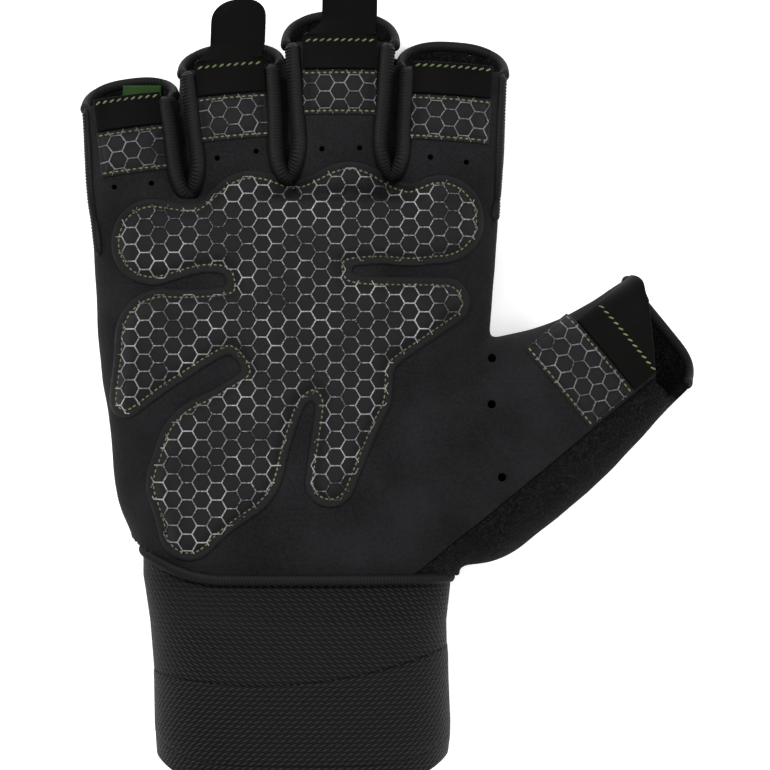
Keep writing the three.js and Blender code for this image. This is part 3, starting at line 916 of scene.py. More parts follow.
@dataclass
class Shell:
    """The two sewn panels of the glove: leather in front, towelling behind and along the thumb."""

    form: HandForm
    wall: float = 1.6
    seam_height: float = 13.0
    strip: float = 7.6
    # How far round a stall its mouth cuts, how far up the thumb, and how far points snap to an edge.
    stall_room: float = 1.2
    thumb_reach: float = 0.7
    snap: float = 3.0
    vent_sides: int = 14
    punch_length: float = 50.0
    punch_height: float = 41.0
    # Shares of the palm's width and length, and radius.
    vents: tuple[tuple[float, float, float], ...] = (
        (-0.4325, 0.478, 0.7), (-0.342, 0.4875, 0.7), (-0.1824, 0.55, 0.7), (-0.088, 0.5675, 0.7),
        (0.0723, 0.573, 0.7), (0.164, 0.575, 0.7), (0.336, 0.5525, 0.7), (0.4234, 0.54, 0.7),
        (0.4855, 0.054, 1.07), (0.483, -0.06, 1.07), (0.5076, -0.239, 1.07),
    )

    def past_edges(self, points: np.ndarray) -> list[tuple[np.ndarray, np.ndarray]]:
        """Give, for each open edge, how far points lie past it and the way out along the glove.

        Args:
            points: The form's points in millimetres.

        Returns:
            Pairs of distances, far below zero where an edge doesn't reach, and a direction.
        """
        form = self.form
        edges = []
        for stall in form.stalls.values():
            along, across = stall.frame.local(points)
            near = (np.abs(across) < stall.width / 2 + self.stall_room) & (along > 0.5 * stall.length)
            past = np.where(near, form.mouth(stall, points), NOWHERE)
            edges.append((past, np.array([math.cos(stall.frame.angle), math.sin(stall.frame.angle), 0])))
        along, across = form.thumb.local(points)
        near = along > self.thumb_reach * form.thumb_length
        near &= np.abs(across + form.thumb_width / 2) < form.thumb_width
        past = np.where(near, form.thumb_mouth(points), NOWHERE)
        edges.append((past, np.array([math.cos(form.thumb.angle), math.sin(form.thumb.angle), 0])))
        seam = form.wrist_y + form.rise_at(points[:, 0])
        near = points[:, 0] < form.thumb.x + 1
        edges.append((np.where(near, seam - points[:, 1], NOWHERE), np.array([0, -1, 0])))
        return edges

    def opened(self, name: str) -> bpy.types.Object:
        """Copy the form and cut its mouths and its wrist open, with clean edges.

        Args:
            name: The copy's name.

        Returns:
            The copy.
        """
        made = bpy.data.objects.new(name, self.form.body.data.copy())
        bpy.context.collection.objects.link(made)
        with editing(made) as shape:
            shape.verts.ensure_lookup_table()
            points = np.array([v.co for v in shape.verts]) / MM
            edges = self.past_edges(points)
            drop = np.any([past > 0 for past, _ in edges], axis=0)
            moves: dict[int, np.ndarray] = {}
            for edge in shape.edges:
                a, b = (v.index for v in edge.verts)
                if drop[a] == drop[b]:
                    continue
                kept, gone = (b, a) if drop[a] else (a, b)
                past, way = max(edges, key=lambda e: e[0][gone])
                if -self.snap < past[kept] <= 0:
                    moves[kept] = -past[kept] * way
            for index, move in moves.items():
                shape.verts[index].co += Vector(move) * MM
            bmesh.ops.delete(shape, geom=[v for v in shape.verts if drop[v.index]], context="VERTS")
        return made

    def keep_part(self, piece: bpy.types.Object, back: bool) -> None:
        """Keep the leather's or the towelling's share of the form.

        Args:
            piece: The opened form.
            back: True for the towelling, False for the leather.
        """
        side = -1 if back else 1
        frame = self.form.thumb
        height = (self.seam_height + side * GAP / 2) * MM
        line = Vector((*(frame.point(0, -(self.strip + side * GAP / 2)) * MM), 0))
        right = Vector((math.sin(frame.angle), -math.cos(frame.angle), 0))
        with editing(piece) as shape:
            cut_at(shape, (0, 0, height), (0, 0, 1))
            cut_at(shape, line, right)
            centres = [(one, one.calc_center_median()) for one in shape.faces]
            gone = [one for one, centre in centres
                    if (centre.z < height or (centre - line).dot(right) > 0) != back]
            bmesh.ops.delete(shape, geom=gone, context="FACES")

    def punch(self, piece: bpy.types.Object) -> None:
        """Punch the vent holes through the leather.

        Args:
            piece: The leather.
        """
        form = self.form
        mesh = bpy.data.meshes.new("vent_punches")
        punches = bpy.data.objects.new("vent_punches", mesh)
        bpy.context.collection.objects.link(punches)
        with editing(punches) as shape:
            for x, y, radius in self.vents:
                made = bmesh.ops.create_cone(shape, cap_ends=True, segments=self.vent_sides,
                                             radius1=radius * MM, radius2=radius * MM,
                                             depth=self.punch_length * MM)
                shift = Vector((x * form.palm_width, y * form.palm_length, self.punch_height)) * MM
                bmesh.ops.translate(shape, verts=made["verts"], vec=shift)
        cut = piece.modifiers.new("vents", "BOOLEAN")
        cut.operation = "DIFFERENCE"
        cut.object = punches
        cut.solver = "EXACT"
        apply_modifiers(piece)
        bpy.data.objects.remove(punches)

    def build(self) -> None:
        """Make and dress both panels."""
        palm = self.opened("leather_palm")
        self.keep_part(palm, back=False)
        add_wall(palm, self.wall)
        apply_modifiers(palm)
        self.punch(palm)
        finish_piece(palm, SUEDE, Slot.LEATHER, "palm_panel")
        back = self.opened("towelling_back")
        self.keep_part(back, back=True)
        add_wall(back, self.wall)
        apply_modifiers(back)
        finish_piece(back, TERRY, Slot.TOWEL, "back_panel")


def region_mesh(name: str, inside: Plan, box: Box, step: float) -> bpy.types.Object:
    """Mesh the plan region where a field is below zero.

    Args:
        name: The object's name.
        inside: The field, in millimetres from the region's edge.
        box: The lowest x and y and the highest x and y to search.
        step: The grid's spacing.

    Returns:
        The object with a clean edge, whose heights are the field's values.
    """
    xs = np.arange(box[0], box[2] + step, step)
    ys = np.arange(box[1], box[3] + step, step)
    gx, gy = np.meshgrid(xs, ys)
    values = inside(gx.ravel(), gy.ravel())
    points = np.stack([gx.ravel(), gy.ravel(), values], axis=1)
    faces = [face for face in grid_faces(len(ys) - 1, len(xs) - 1) if values[face].min() < 0]
    made = mesh_object(name, points, faces)
    with editing(made) as shape:
        cut_at(shape, (0, 0, 0), (0, 0, 1), clear=True)
        bmesh.ops.delete(shape, geom=[v for v in shape.verts if not v.link_faces], context="VERTS")
    return made


def contour(inside: Plan, level: float, box: Box, step: float) -> list[np.ndarray]:
    """Trace where a plan field has a value.

    Args:
        inside: The field.
        level: Its value on the lines.
        box: The lowest x and y and the highest x and y to search.
        step: The grid's spacing.

    Returns:
        The lines as arrays of plan points.
    """
    made = region_mesh("trace", lambda x, y: inside(x, y) - level, box, step)
    links: dict[int, list[int]] = {}
    with editing(made) as shape:
        places = {v.index: np.array(v.co[:2]) / MM for v in shape.verts}
        for edge in shape.edges:
            if edge.is_boundary:
                a, b = edge.verts[0].index, edge.verts[1].index
                links.setdefault(a, []).append(b)
                links.setdefault(b, []).append(a)
    lines = []
    while links:
        here = next(iter(links))
        line = [here]
        while following := [p for p in links.pop(here, []) if p in links]:
            here = following[0]
            line.append(here)
        if len(line) > SHORTEST_LINE:
            lines.append(np.array([places[i] for i in [*line, line[0]]]))
    bpy.data.objects.remove(made)
    return lines


def resample(line: np.ndarray, pitch: float) -> np.ndarray:
    """Space points evenly along a line.

    Args:
        line: The line's points, one a row.
        pitch: About how far apart they come to lie.

    Returns:
        The new points.
    """
    steps = np.linalg.norm(np.diff(line, axis=0), axis=1)
    lengths = np.concatenate([[0], np.cumsum(steps)])
    at = np.linspace(0, lengths[-1], max(2, int(round(lengths[-1] / pitch))) + 1)
    return np.stack([np.interp(at, lengths, column) for column in line.T], axis=1)


@dataclass
class Needlework:
    """Rows of stitches, each a small rounded float of thread."""

    form: HandForm
    radius: float = 0.25
    sides: int = 6
    proud: float = 0.12
    # Places along a float, and its thickness there.
    shape: tuple[tuple[float, float], ...] = (
        (0.0, 0.25), (0.18, 0.85), (0.5, 1.0), (0.82, 0.85), (1.0, 0.25),
    )
    rows: list[np.ndarray] = field(default_factory=list)
    faces: list[list[int]] = field(default_factory=list)
    count: int = 0

    def add_row(self, line: np.ndarray, lift: Callable[[np.ndarray], np.ndarray], pitch: float,
                share: float = 0.7, slant: float = 0.0) -> None:
        """Sew along a plan line.

        Args:
            line: The line's plan points.
            lift: The height of the stitched surface over plan points.
            pitch: From one stitch to the next.
            share: How much of the pitch the float takes.
            slant: The float's turn from the line, in radians.
        """
        points = resample(line, pitch)
        mids = (points[:-1] + points[1:]) / 2
        ways = unit(np.diff(points, axis=0))
        c, s = math.cos(slant), math.sin(slant)
        ways = np.stack([ways[:, 0] * c - ways[:, 1] * s, ways[:, 0] * s + ways[:, 1] * c], axis=1)
        half = pitch * share / 2
        for mid, way in zip(mids, ways):
            ends = np.array([mid - way * half, mid, mid + way * half])
            self.add_float(np.column_stack([ends, lift(ends)]))

    def add_float(self, axis: np.ndarray) -> None:
        """Add one float over three points, fullest in its middle.

        Args:
            axis: The float's start, middle and end.
        """
        way = unit(axis[2] - axis[0])
        side = unit(np.cross(way, [0, 0, 1]))
        up = np.cross(side, way)
        arch = axis[1, 2] - (axis[0, 2] + axis[2, 2]) / 2
        for place, size in self.shape:
            rise = arch * (1 - (2 * place - 1) ** 2) + self.proud * size
            centre = axis[0] + (axis[2] - axis[0]) * place + np.array([0, 0, rise])
            for angle in 2 * np.pi * np.arange(self.sides) / self.sides:
                out = math.cos(angle) * side + math.sin(angle) * up
                self.rows.append(centre + size * self.radius * out)
        first = list(range(self.sides))
        last = [i + (len(self.shape) - 1) * self.sides for i in reversed(first)]
        faces = [*ring_faces(len(self.shape), self.sides), first, last]
        self.faces += [[self.count + i for i in face] for face in faces]
        self.count += self.sides * len(self.shape)

    def build(self, name: str) -> None:
        """Make all the rows one piece of thread.

        Args:
            name: The piece's name.
        """
        made = mesh_object(name, np.array(self.rows), self.faces)
        face_outwards(made, 0.0)
        finish_piece(made, THREAD, Slot.OLIVE)


@dataclass
class GripPad:
    """A padded patch with a raised silicone web of hexagons."""

    form: HandForm
    thread: Needlework
    name: str
    nodes: tuple[str, ...]
    inside: Plan
    box: Box
    turn: float = 0.0
    anchor: tuple[float, float] = (0.0, 0.0)
    pitch: float = 4.28
    ridge: float = 0.21
    web_finish: Finish = SILICONE
    # Shares of the ridge's half width, and its height there.
    ridge_levels: tuple[tuple[float, float], ...] = ((0.0, 0.42), (0.35, 0.357), (0.75, 0.147), (1.0, -0.1))
    puff: float = 1.9
    flange: float = 2.0
    base: float = 0.45
    step: float = 0.55
    # How fast the flange and the padding rise, the stitches' groove and each cell's own puff.
    edge_run: float = 0.5
    puff_run: float = 3.4
    groove_depth: float = 0.28
    groove_width: float = 0.55
    cell_puff: float = 0.22
    side_splits: int = 3
    search: float = 0.8
    web_overlap: float = 0.9
    web_wall: float = 0.18
    pad_wall: float = 0.5

    def cell_distance(self, x: np.ndarray, y: np.ndarray) -> np.ndarray:
        """Give how far plan points lie from the edge of their hexagon.

        Args:
            x: The places across.
            y: The places up.

        Returns:
            The distances in millimetres.
        """
        c, s = math.cos(self.turn), math.sin(self.turn)
        px = (x - self.anchor[0]) * c + (y - self.anchor[1]) * s
        py = -(x - self.anchor[0]) * s + (y - self.anchor[1]) * c
        column = self.pitch * math.sqrt(3) / 2
        best = np.full(np.shape(px), NOWHERE)
        for nearest in (0, 1):
            col = np.floor(px / column) + nearest
            odd = np.mod(col, 2) * self.pitch / 2
            row = np.round((py - odd) / self.pitch)
            qx = np.abs(px - col * column)
            qy = np.abs(py - odd - row * self.pitch)
            reach = np.maximum(qy, qx * math.sqrt(3) / 2 + qy / 2)
            best = np.maximum(best, self.pitch / 2 - reach)
        return best

    def profile(self, x: np.ndarray, y: np.ndarray) -> np.ndarray:
        """Give the pad's height over the form: a flange, the stitches' groove, the padding and its cells.

        Args:
            x: The places across.
            y: The places up.

        Returns:
            The heights in millimetres.
        """
        deep = -self.inside(x, y)
        edge = self.base * np.clip(deep / self.edge_run, 0, 1) ** 0.5
        groove = -self.groove_depth * np.exp(-(((deep - self.flange) / self.groove_width) ** 2))
        share = np.clip((deep - self.flange) / self.puff_run, 0, 1)
        swell = self.puff * np.sin(share * math.pi / 2)
        cells = np.clip(self.cell_distance(x, y) / (self.pitch / 2), 0, 1)
        return GAP + edge + groove + swell + self.cell_puff * (deep > self.flange) * cells

    def surface(self, points: np.ndarray) -> np.ndarray:
        """Give the heights of the pad's face over plan points.

        Args:
            points: An array whose first two columns are x and y in millimetres.

        Returns:
            The heights in millimetres.
        """
        return self.form.heights(points) + self.profile(points[:, 0], points[:, 1])

    def drape(self, piece: bpy.types.Object, lift: np.ndarray | float) -> None:
        """Lay a flat piece on the pad.

        Args:
            piece: The piece.
            lift: How far its points lie over the pad's face.
        """
        points = np.array([v.co for v in piece.data.vertices]) / MM
        points[:, 2] = self.form.heights(points) + (self.profile(points[:, 0], points[:, 1]) + lift)
        for vertex, place in zip(piece.data.vertices, points):
            vertex.co = Vector(place) * MM
        piece.data.update()

    def cell(self, mx: float, my: float) -> list[tuple[float, float, float]]:
        """Give the points of the ridge round the inside of one hexagon.

        Args:
            mx: The hexagon's middle across the web.
            my: Its middle up the web.

        Returns:
            Plan places with their heights, ring by ring from the ridge's crest inwards.
        """
        c, s = math.cos(self.turn), math.sin(self.turn)
        points = []
        for inset, height in self.ridge_levels:
            radius = self.pitch / math.sqrt(3) * (1 - 2 * inset * self.ridge / self.pitch)
            for k in range(6):
                a0, a1 = math.pi / 3 * k, math.pi / 3 * (k + 1)
                for t in np.arange(self.side_splits) / self.side_splits:
                    lx = mx + radius * ((1 - t) * math.cos(a0) + t * math.cos(a1))
                    ly = my + radius * ((1 - t) * math.sin(a0) + t * math.sin(a1))
                    points.append((self.anchor[0] + lx * c - ly * s, self.anchor[1] + lx * s + ly * c,
                                   height))
        return points

    def web(self) -> bpy.types.Object:
        """Make the silicone web: ridges along the hexagons' sides, crowned along their middles.

        Returns:
            The web.
        """
        column = self.pitch * math.sqrt(3) / 2
        reach = max(self.box[2] - self.box[0], self.box[3] - self.box[1]) * self.search
        c, s = math.cos(self.turn), math.sin(self.turn)
        dx = (self.box[0] + self.box[2]) / 2 - self.anchor[0]
        dy = (self.box[1] + self.box[3]) / 2 - self.anchor[1]
        local = (dx * c + dy * s, -dx * s + dy * c)
        points: list[tuple[float, float, float]] = []
        faces: list[list[int]] = []
        for col in range(int((local[0] - reach) / column), int((local[0] + reach) / column) + 1):
            for row in range(int((local[1] - reach) / self.pitch), int((local[1] + reach) / self.pitch) + 1):
                mx, my = col * column, row * self.pitch + (col % 2) * self.pitch / 2
                wx, wy = self.anchor[0] + mx * c - my * s, self.anchor[1] + mx * s + my * c
                if self.inside(np.array([wx]), np.array([wy]))[0] > self.pitch:
                    continue
                rings = ring_faces(len(self.ridge_levels), 6 * self.side_splits)
                faces += [[len(points) + i for i in face] for face in rings]
                points += self.cell(mx, my)
        array = np.array(points)
        depth = -self.inside(array[:, 0], array[:, 1])
        faces = [f for f in faces if min(depth[f]) > self.flange - self.web_overlap]
        made = mesh_object(self.name + "_silicone_web", array, faces)
        face_up(made)
        self.drape(made, np.array([v.co.z for v in made.data.vertices]) / MM)
        add_wall(made, self.web_wall)
        apply_modifiers(made)
        return made

    def build(self, rows: Sequence[np.ndarray] | None = None, pitch: float = 1.4) -> None:
        """Make and dress the pad, its web and its stitches.

        Args:
            rows: The stitch rows; the outline's inset line where there are none.
            pitch: From one stitch to the next.
        """
        pad = region_mesh(self.name, self.inside, self.box, self.step)
        for vertex in pad.data.vertices:
            vertex.co.z = 0.0
        face_up(pad)
        self.drape(pad, 0.0)
        add_wall(pad, self.pad_wall)
        apply_modifiers(pad)
        finish_piece(pad, PAD_SUEDE, Slot.SILICONE, *self.nodes)
        finish_piece(self.web(), self.web_finish, Slot.SILICONE)
        lines = rows if rows is not None else contour(self.inside, -self.flange, self.box, self.step)
        for line in lines:
            self.thread.add_row(line, self.surface, pitch)


def face_up(piece: bpy.types.Object) -> None:
    """Merge a flat mesh's doubles and turn its faces up.

    Args:
        piece: The piece.
    """
    with editing(piece) as shape:
        bmesh.ops.remove_doubles(shape, verts=shape.verts[:], dist=WELD_MM * MM)
        shape.normal_update()
        bmesh.ops.reverse_faces(shape, faces=[f for f in shape.faces if f.normal.z < 0])


@dataclass(frozen=True)
class Lobes:
    """The palm pad's outline: round lobes joined two by two, melted together."""

    form: HandForm
    melt: float = 1.3
    steepest: float = 0.05
    # The box that holds the pad, in shares of the palm's width and length.
    reach: Box = (-0.48, -0.47, 0.5, 0.56)
    # Place across as a share of the palm's width, place up as a share of its length, and radius.
    discs: tuple[tuple[str, float, float, float], ...] = (
        ("little_knuckle", -0.338, 0.342, 0.105), ("ring_knuckle", -0.216, 0.35, 0.078),
        ("ring_mount", -0.093, 0.385, 0.128), ("mid_mount", 0.017, 0.37, 0.115),
        ("middle_mount", 0.14, 0.412, 0.123), ("index_mount", 0.287, 0.38, 0.093),
        ("index_knuckle", 0.36, 0.398, 0.108), ("trunk_top", -0.02, 0.325, 0.147),
        ("trunk", 0.017, 0.125, 0.152), ("web_tip", 0.373, 0.193, 0.059), ("web_root", 0.115, 0.113, 0.14),
        ("thumb_root", 0.152, -0.03, 0.088), ("thumb_tip", 0.093, -0.25, 0.061),
        ("heel", -0.172, -0.195, 0.152), ("heel_side", -0.24, -0.255, 0.108),
        ("heel_tip", -0.248, -0.37, 0.069), ("neck", -0.032, -0.013, 0.074), ("edge", -0.314, 0.105, 0.113),
        ("edge_tip", -0.405, -0.05, 0.044), ("edge_root", -0.142, 0.155, 0.071),
    )
    links: tuple[tuple[str, str], ...] = (
        ("little_knuckle", "ring_knuckle"), ("ring_knuckle", "ring_mount"), ("ring_mount", "mid_mount"),
        ("mid_mount", "middle_mount"), ("middle_mount", "index_mount"), ("index_mount", "index_knuckle"),
        ("trunk_top", "trunk"), ("web_tip", "web_root"), ("web_root", "thumb_root"),
        ("thumb_root", "thumb_tip"), ("heel", "heel_side"), ("heel_side", "heel_tip"), ("heel", "neck"),
        ("edge", "edge_tip"), ("edge", "edge_root"), ("trunk", "web_root"), ("neck", "trunk"),
        ("edge_root", "trunk"), ("trunk_top", "mid_mount"), ("heel", "heel_tip"),
    )

    @property
    def box(self) -> Box:
        """The plan box that holds the pad, in millimetres."""
        width, length = self.form.palm_width, self.form.palm_length
        return self.reach[0] * width, self.reach[1] * length, self.reach[2] * width, self.reach[3] * length

    def field(self, x: np.ndarray, y: np.ndarray) -> np.ndarray:
        """Give the distance of plan points from the pad's outline, below zero inside.

        Args:
            x: The places across.
            y: The places up.

        Returns:
            The distances in millimetres.
        """
        width, length = self.form.palm_width, self.form.palm_length
        discs = {n: (dx * width, dy * length, r * width) for n, dx, dy, r in self.discs}
        total = np.zeros(np.shape(x))
        for first, second in self.links:
            ax, ay, ar = discs[first]
            bx, by, br = discs[second]
            span = math.hypot(bx - ax, by - ay)
            t = ((x - ax) * (bx - ax) + (y - ay) * (by - ay)) / span**2
            lean = (ar - br) / span
            off = np.hypot(x - ax - t * (bx - ax), y - ay - t * (by - ay))
            t = np.clip(t - lean * off / span / math.sqrt(max(1 - lean**2, self.steepest)), 0, 1)
            near = np.hypot(x - ax - t * (bx - ax), y - ay - t * (by - ay)) - (ar + (br - ar) * t)
            total += np.exp(-near / self.melt * 2)
        return -self.melt / 2 * np.log(np.maximum(total, VANISHING))


@dataclass
class RibbedTube:
    """A folded binding with fine ribs across it, swept along a path."""

    name: str
    path: np.ndarray
    ups: np.ndarray
    half_width: float
    half_height: float
    rib_mm: float = 0.85
    rib_depth: float = 0.13
    closed: bool = False
    corners: int = 14
    # An open end's thickness, and the rings that it takes to fill out.
    end_share: float = 0.35
    end_steps: float = 9.0

    def build(self, finish: Finish, slot: Slot, *nodes: str) -> bpy.types.Object:
        """Sweep and dress the binding.

        Args:
            finish: Its finish.
            slot: The record's slot.
            nodes: The CAD nodes that it replaces.

        Returns:
            The piece.
        """
        line = resample(np.column_stack([self.path, self.ups]), self.rib_mm / RIB_STEPS)
        if self.closed:
            line = line[:-1]
        points, ups = line[:, :3], line[:, 3:]
        if self.closed:
            ways = unit(np.roll(points, -1, axis=0) - np.roll(points, 1, axis=0))
        else:
            ways = unit(np.gradient(points, axis=0))
        sides = unit(np.cross(ways, ups))
        ups = np.cross(sides, ways)
        angle = 2 * np.pi * np.arange(self.corners) / self.corners
        count = len(points)
        rings = []
        for i in range(count):
            rib = 1 + self.rib_depth * math.cos(i * 2 * math.pi / RIB_STEPS) / self.half_height
            taper = 1.0 if self.closed else min(1.0, self.end_share + min(i, count - 1 - i) / self.end_steps)
            a = np.cos(angle)[:, None] * sides[i] * self.half_width * taper
            b = np.sin(angle)[:, None] * ups[i] * self.half_height * rib * taper
            ring = points[i] + a + b
            # A binding under the glove is pressed flat on the table.
            ring[:, 2] = np.maximum(ring[:, 2], 0.0)
            rings.append(ring)
        faces = ring_faces(count, self.corners, self.closed)
        if not self.closed:
            last = (count - 1) * self.corners
            faces += [list(range(self.corners)), list(range(last, last + self.corners))]
        made = mesh_object(self.name, np.concatenate(rings), faces)
        face_outwards(made, 0.0)
        return finish_piece(made, finish, slot, *nodes)


def smooth_path(points: Sequence[np.ndarray], count: int) -> np.ndarray:
    """Run a smooth curve through plan or space points.

    Args:
        points: The points.
        count: How many points to give.

    Returns:
        The curve's points.
    """
    p = np.array(points, dtype=float)
    p = np.vstack([2 * p[0] - p[1], p, 2 * p[-1] - p[-2]])
    made = []
    for t in np.linspace(0, len(p) - 3, count):
        i = min(int(t), len(p) - 4)
        s = t - i
        a, b, c, d = p[i], p[i + 1], p[i + 2], p[i + 3]
        made.append(0.5 * (2 * b + (c - a) * s + (2 * a - 5 * b + 4 * c - d) * s**2
                           + (3 * b - a - 3 * c + d) * s**3))
    return np.array(made)


def oblong(frame: Frame2, low: float, high: float, left: float, right: float) -> Plan:
    """Give the field of an oblong in a plan frame.

    Args:
        frame: The frame.
        low: Its start along the frame.
        high: Its end along the frame.
        left: Its left edge across the frame.
        right: Its right edge across the frame.

    Returns:
        The field, in millimetres from the oblong's edge and below zero inside.
    """
    def field_of(x: np.ndarray, y: np.ndarray) -> np.ndarray:
        """Give the distances from the oblong's edge.

        Args:
            x: The places across.
            y: The places up.

        Returns:
            The distances.
        """
        along, across = frame.local(np.stack([x, y], axis=-1))
        dx = np.abs(along - (low + high) / 2) - (high - low) / 2
        dy = np.abs(across - (left + right) / 2) - (right - left) / 2
        return np.hypot(np.maximum(dx, 0), np.maximum(dy, 0)) + np.minimum(np.maximum(dx, dy), 0)

    return field_of


@dataclass
class StallTrim:
    """What is sewn on and round the stalls: facings, tabs, padded strips and bindings."""

    form: HandForm
    thread: Needlework
    hem_length: float = 7.0
    grip_length: float = 11.6
    tab_length: float = 15.5
    tab_width: float = 14.0
    roll: float = 1.9
    roll_spread: float = 1.4
    side: float = 1.5
    thumb_row: float = 71.7
    corner: float = 2.2
    thumb_grip: float = 14.8
    # How far a tab sits off its stall's middle, and how much further its end does.
    tab_leans: dict[str, tuple[float, float]] = field(
        default_factory=lambda: {"ring": (2.1, 2.0), "middle": (2.4, 0.3)})
    side_length: float = 38.0
    piping_top: float = 0.45
    turn_over: float = 1.2
    # Faces across a band, up it and up its tab, and its wall.
    columns: int = 40
    band_rows: int = 16
    tab_rows: int = 30
    band_wall: float = 1.0
    # Shares of a tab's length: where its shoulders and its lean end and where its round tip starts.
    shoulder_share: float = 0.3
    lean_share: float = 0.25
    tip_start: float = 0.62
    tip_roundness: float = 2.6
    tip_least: float = 0.35
    # Where the band under a tab gives it its height, back from the mouth and as a share of its width.
    tab_hold: float = 0.8
    hold_share: float = 0.8
    tab_lift: float = 1.3
    tab_droop: float = 0.5
    # Where the stitch rows run, and the pitch, share and slant of a band's stitches.
    mouth_seam: float = 1.1
    row_room: float = 0.5
    band_stitch: tuple[float, float, float] = (1.86, 0.75, 0.5)
    strip_room: float = 0.3
    strip_seam: float = 0.9
    strip_pitch: float = 1.5
    root_share: float = 0.12
    roll_flatness: float = 1.15
    side_inset: float = 0.55
    side_lift: float = 0.3
    side_flatness: float = 0.7
    # Half the width and half the height of a mouth's binding, and how far it is set in.
    piping: tuple[float, float] = (1.55, 1.2)
    piping_inset: float = 0.2
    thumb_hem: float = 0.79
    corner_inset: float = 1.5
    corner_width: float = 3.2
    thumb_wrap: float = 0.4
    thumb_seam: float = 8.4
    thumb_grip_share: float = 1.1

    def grip(self, name: str, frame: Frame2, high: float, left: float, right: float) -> None:
        """Make the padded strip across a stall.

        Args:
            name: The stall's name.
            frame: The stall's plan frame.
            high: The strip's upper end along the frame.
            left: Its left edge across the frame.
            right: Its right edge across the frame.
        """
        low = high - (self.thumb_grip if name == "thumb" else self.grip_length)
        corners = np.array([frame.point(a, b) for a in (low, high) for b in (left, right)])
        box = (*(corners.min(axis=0) - 1), *(corners.max(axis=0) + 1))
        middle = frame.point((low + high) / 2, (left + right) / 2)
        # The strip's web takes the darker silicone, whose lighter spots are fainter painted highlights.
        pad = GripPad(self.form, self.thread, "grip_strip_" + name, ("grip_patch_" + name,),
                      oblong(frame, low, high, left, right), box, turn=frame.angle - math.pi / 2,
                      anchor=(middle[0], middle[1]), puff=1.2, flange=1.0, step=0.4, web_finish=STRIP_SILICONE)
        ends = np.linspace(left + self.strip_room, right - self.strip_room, ROW_POINTS)
        rows = [np.array([frame.point(a, b) for b in ends])
                for a in (low + self.strip_seam, high - self.strip_seam)]
        pad.build(rows, self.strip_pitch)

    def band_face(self, points: np.ndarray) -> np.ndarray:
        """Give the heights of a turned band's face over plan points.

        Args:
            points: An array whose first two columns are x and y in millimetres.

        Returns:
            The heights in millimetres.
        """
        return self.form.heights(points) + GAP + self.band_wall

    def tab_row(self, name: str, frame: Frame2, start: float, middle: float, half: float,
                t: float) -> list[list[float]]:
        """Give one row of a pull tab's points.

        Args:
            name: The stall's name.
            frame: The stall's plan frame.
            start: The tab's start along the frame.
            middle: The band's middle across the frame.
            half: Half of the band's width.
            t: The row's place along the tab, from 0 to 1.

        Returns:
            The points from left to right.
        """
        shift, lean = self.tab_leans[name]
        slim = self.tab_width / 2
        shoulder = slim + (half - slim) * (1 - min(1, t / self.shoulder_share)) ** 2
        tip = max(0.0, (t - self.tip_start) / (1 - self.tip_start))
        width = max(shoulder * math.sqrt(max(1 - tip**self.tip_roundness, 0.0)), self.tip_least)
        row = []
        for c in range(self.columns + 1):
            u = 2 * c / self.columns - 1
            across = middle + width * u + (shift + lean * t) * min(1.0, t / self.lean_share)
            x, y = frame.point(start + self.tab_length * t, across)
            inner = frame.point(start - self.tab_hold, middle + self.hold_share * half * u)
            z = self.band_face(np.array([inner]))[0]
            row.append([x, y, z + self.tab_lift * math.sin(t * math.pi * 0.5) ** 2 - self.tab_droop * t])
        return row

    def facing(self, name: str, frame: Frame2, low: float, edge: Callable[[float], float], left: float,
               right: float, tab: bool) -> None:
        """Make the turned band at a stall's mouth, with its tab.

        Args:
            name: The stall's name.
            frame: The stall's plan frame.
            low: The band's lower end along the frame.
            edge: The mouth's place along the frame, from the place across.
            left: Its left edge across the frame.
            right: Its right edge across the frame.
            tab: Whether it runs on as a pull tab.
        """
        middle, half = (left + right) / 2, (right - left) / 2
        points: list[Sequence[float]] = []
        for r in range(self.band_rows + 1):
            for c in range(self.columns + 1):
                across = middle + half * (2 * c / self.columns - 1)
                place = frame.point(low + (edge(across) - low) * r / self.band_rows, across)
                points.append([*place, self.band_face(np.array([place]))[0]])
        tab_rows = self.tab_rows if tab else 0
        for r in range(1, tab_rows + 1):
            points += self.tab_row(name, frame, edge(middle), middle, half, r / tab_rows)
        faces = grid_faces(self.band_rows + tab_rows, self.columns)
        made = mesh_object("turned_band_" + name, np.array(points), faces)
        face_up(made)
        add_wall(made, self.band_wall)
        add_bevel(made, 0.3, 2)
        apply_modifiers(made)
        finish_piece(made, RIM, Slot.RIM, "rim_facing_" + name)
        ends = np.linspace(left + self.row_room, right - self.row_room, ROW_POINTS)
        row = [frame.point(self.thumb_row if name == "thumb" else edge(b) - self.mouth_seam, b) for b in ends]
        self.thread.add_row(np.array(row), self.band_face, *self.band_stitch)

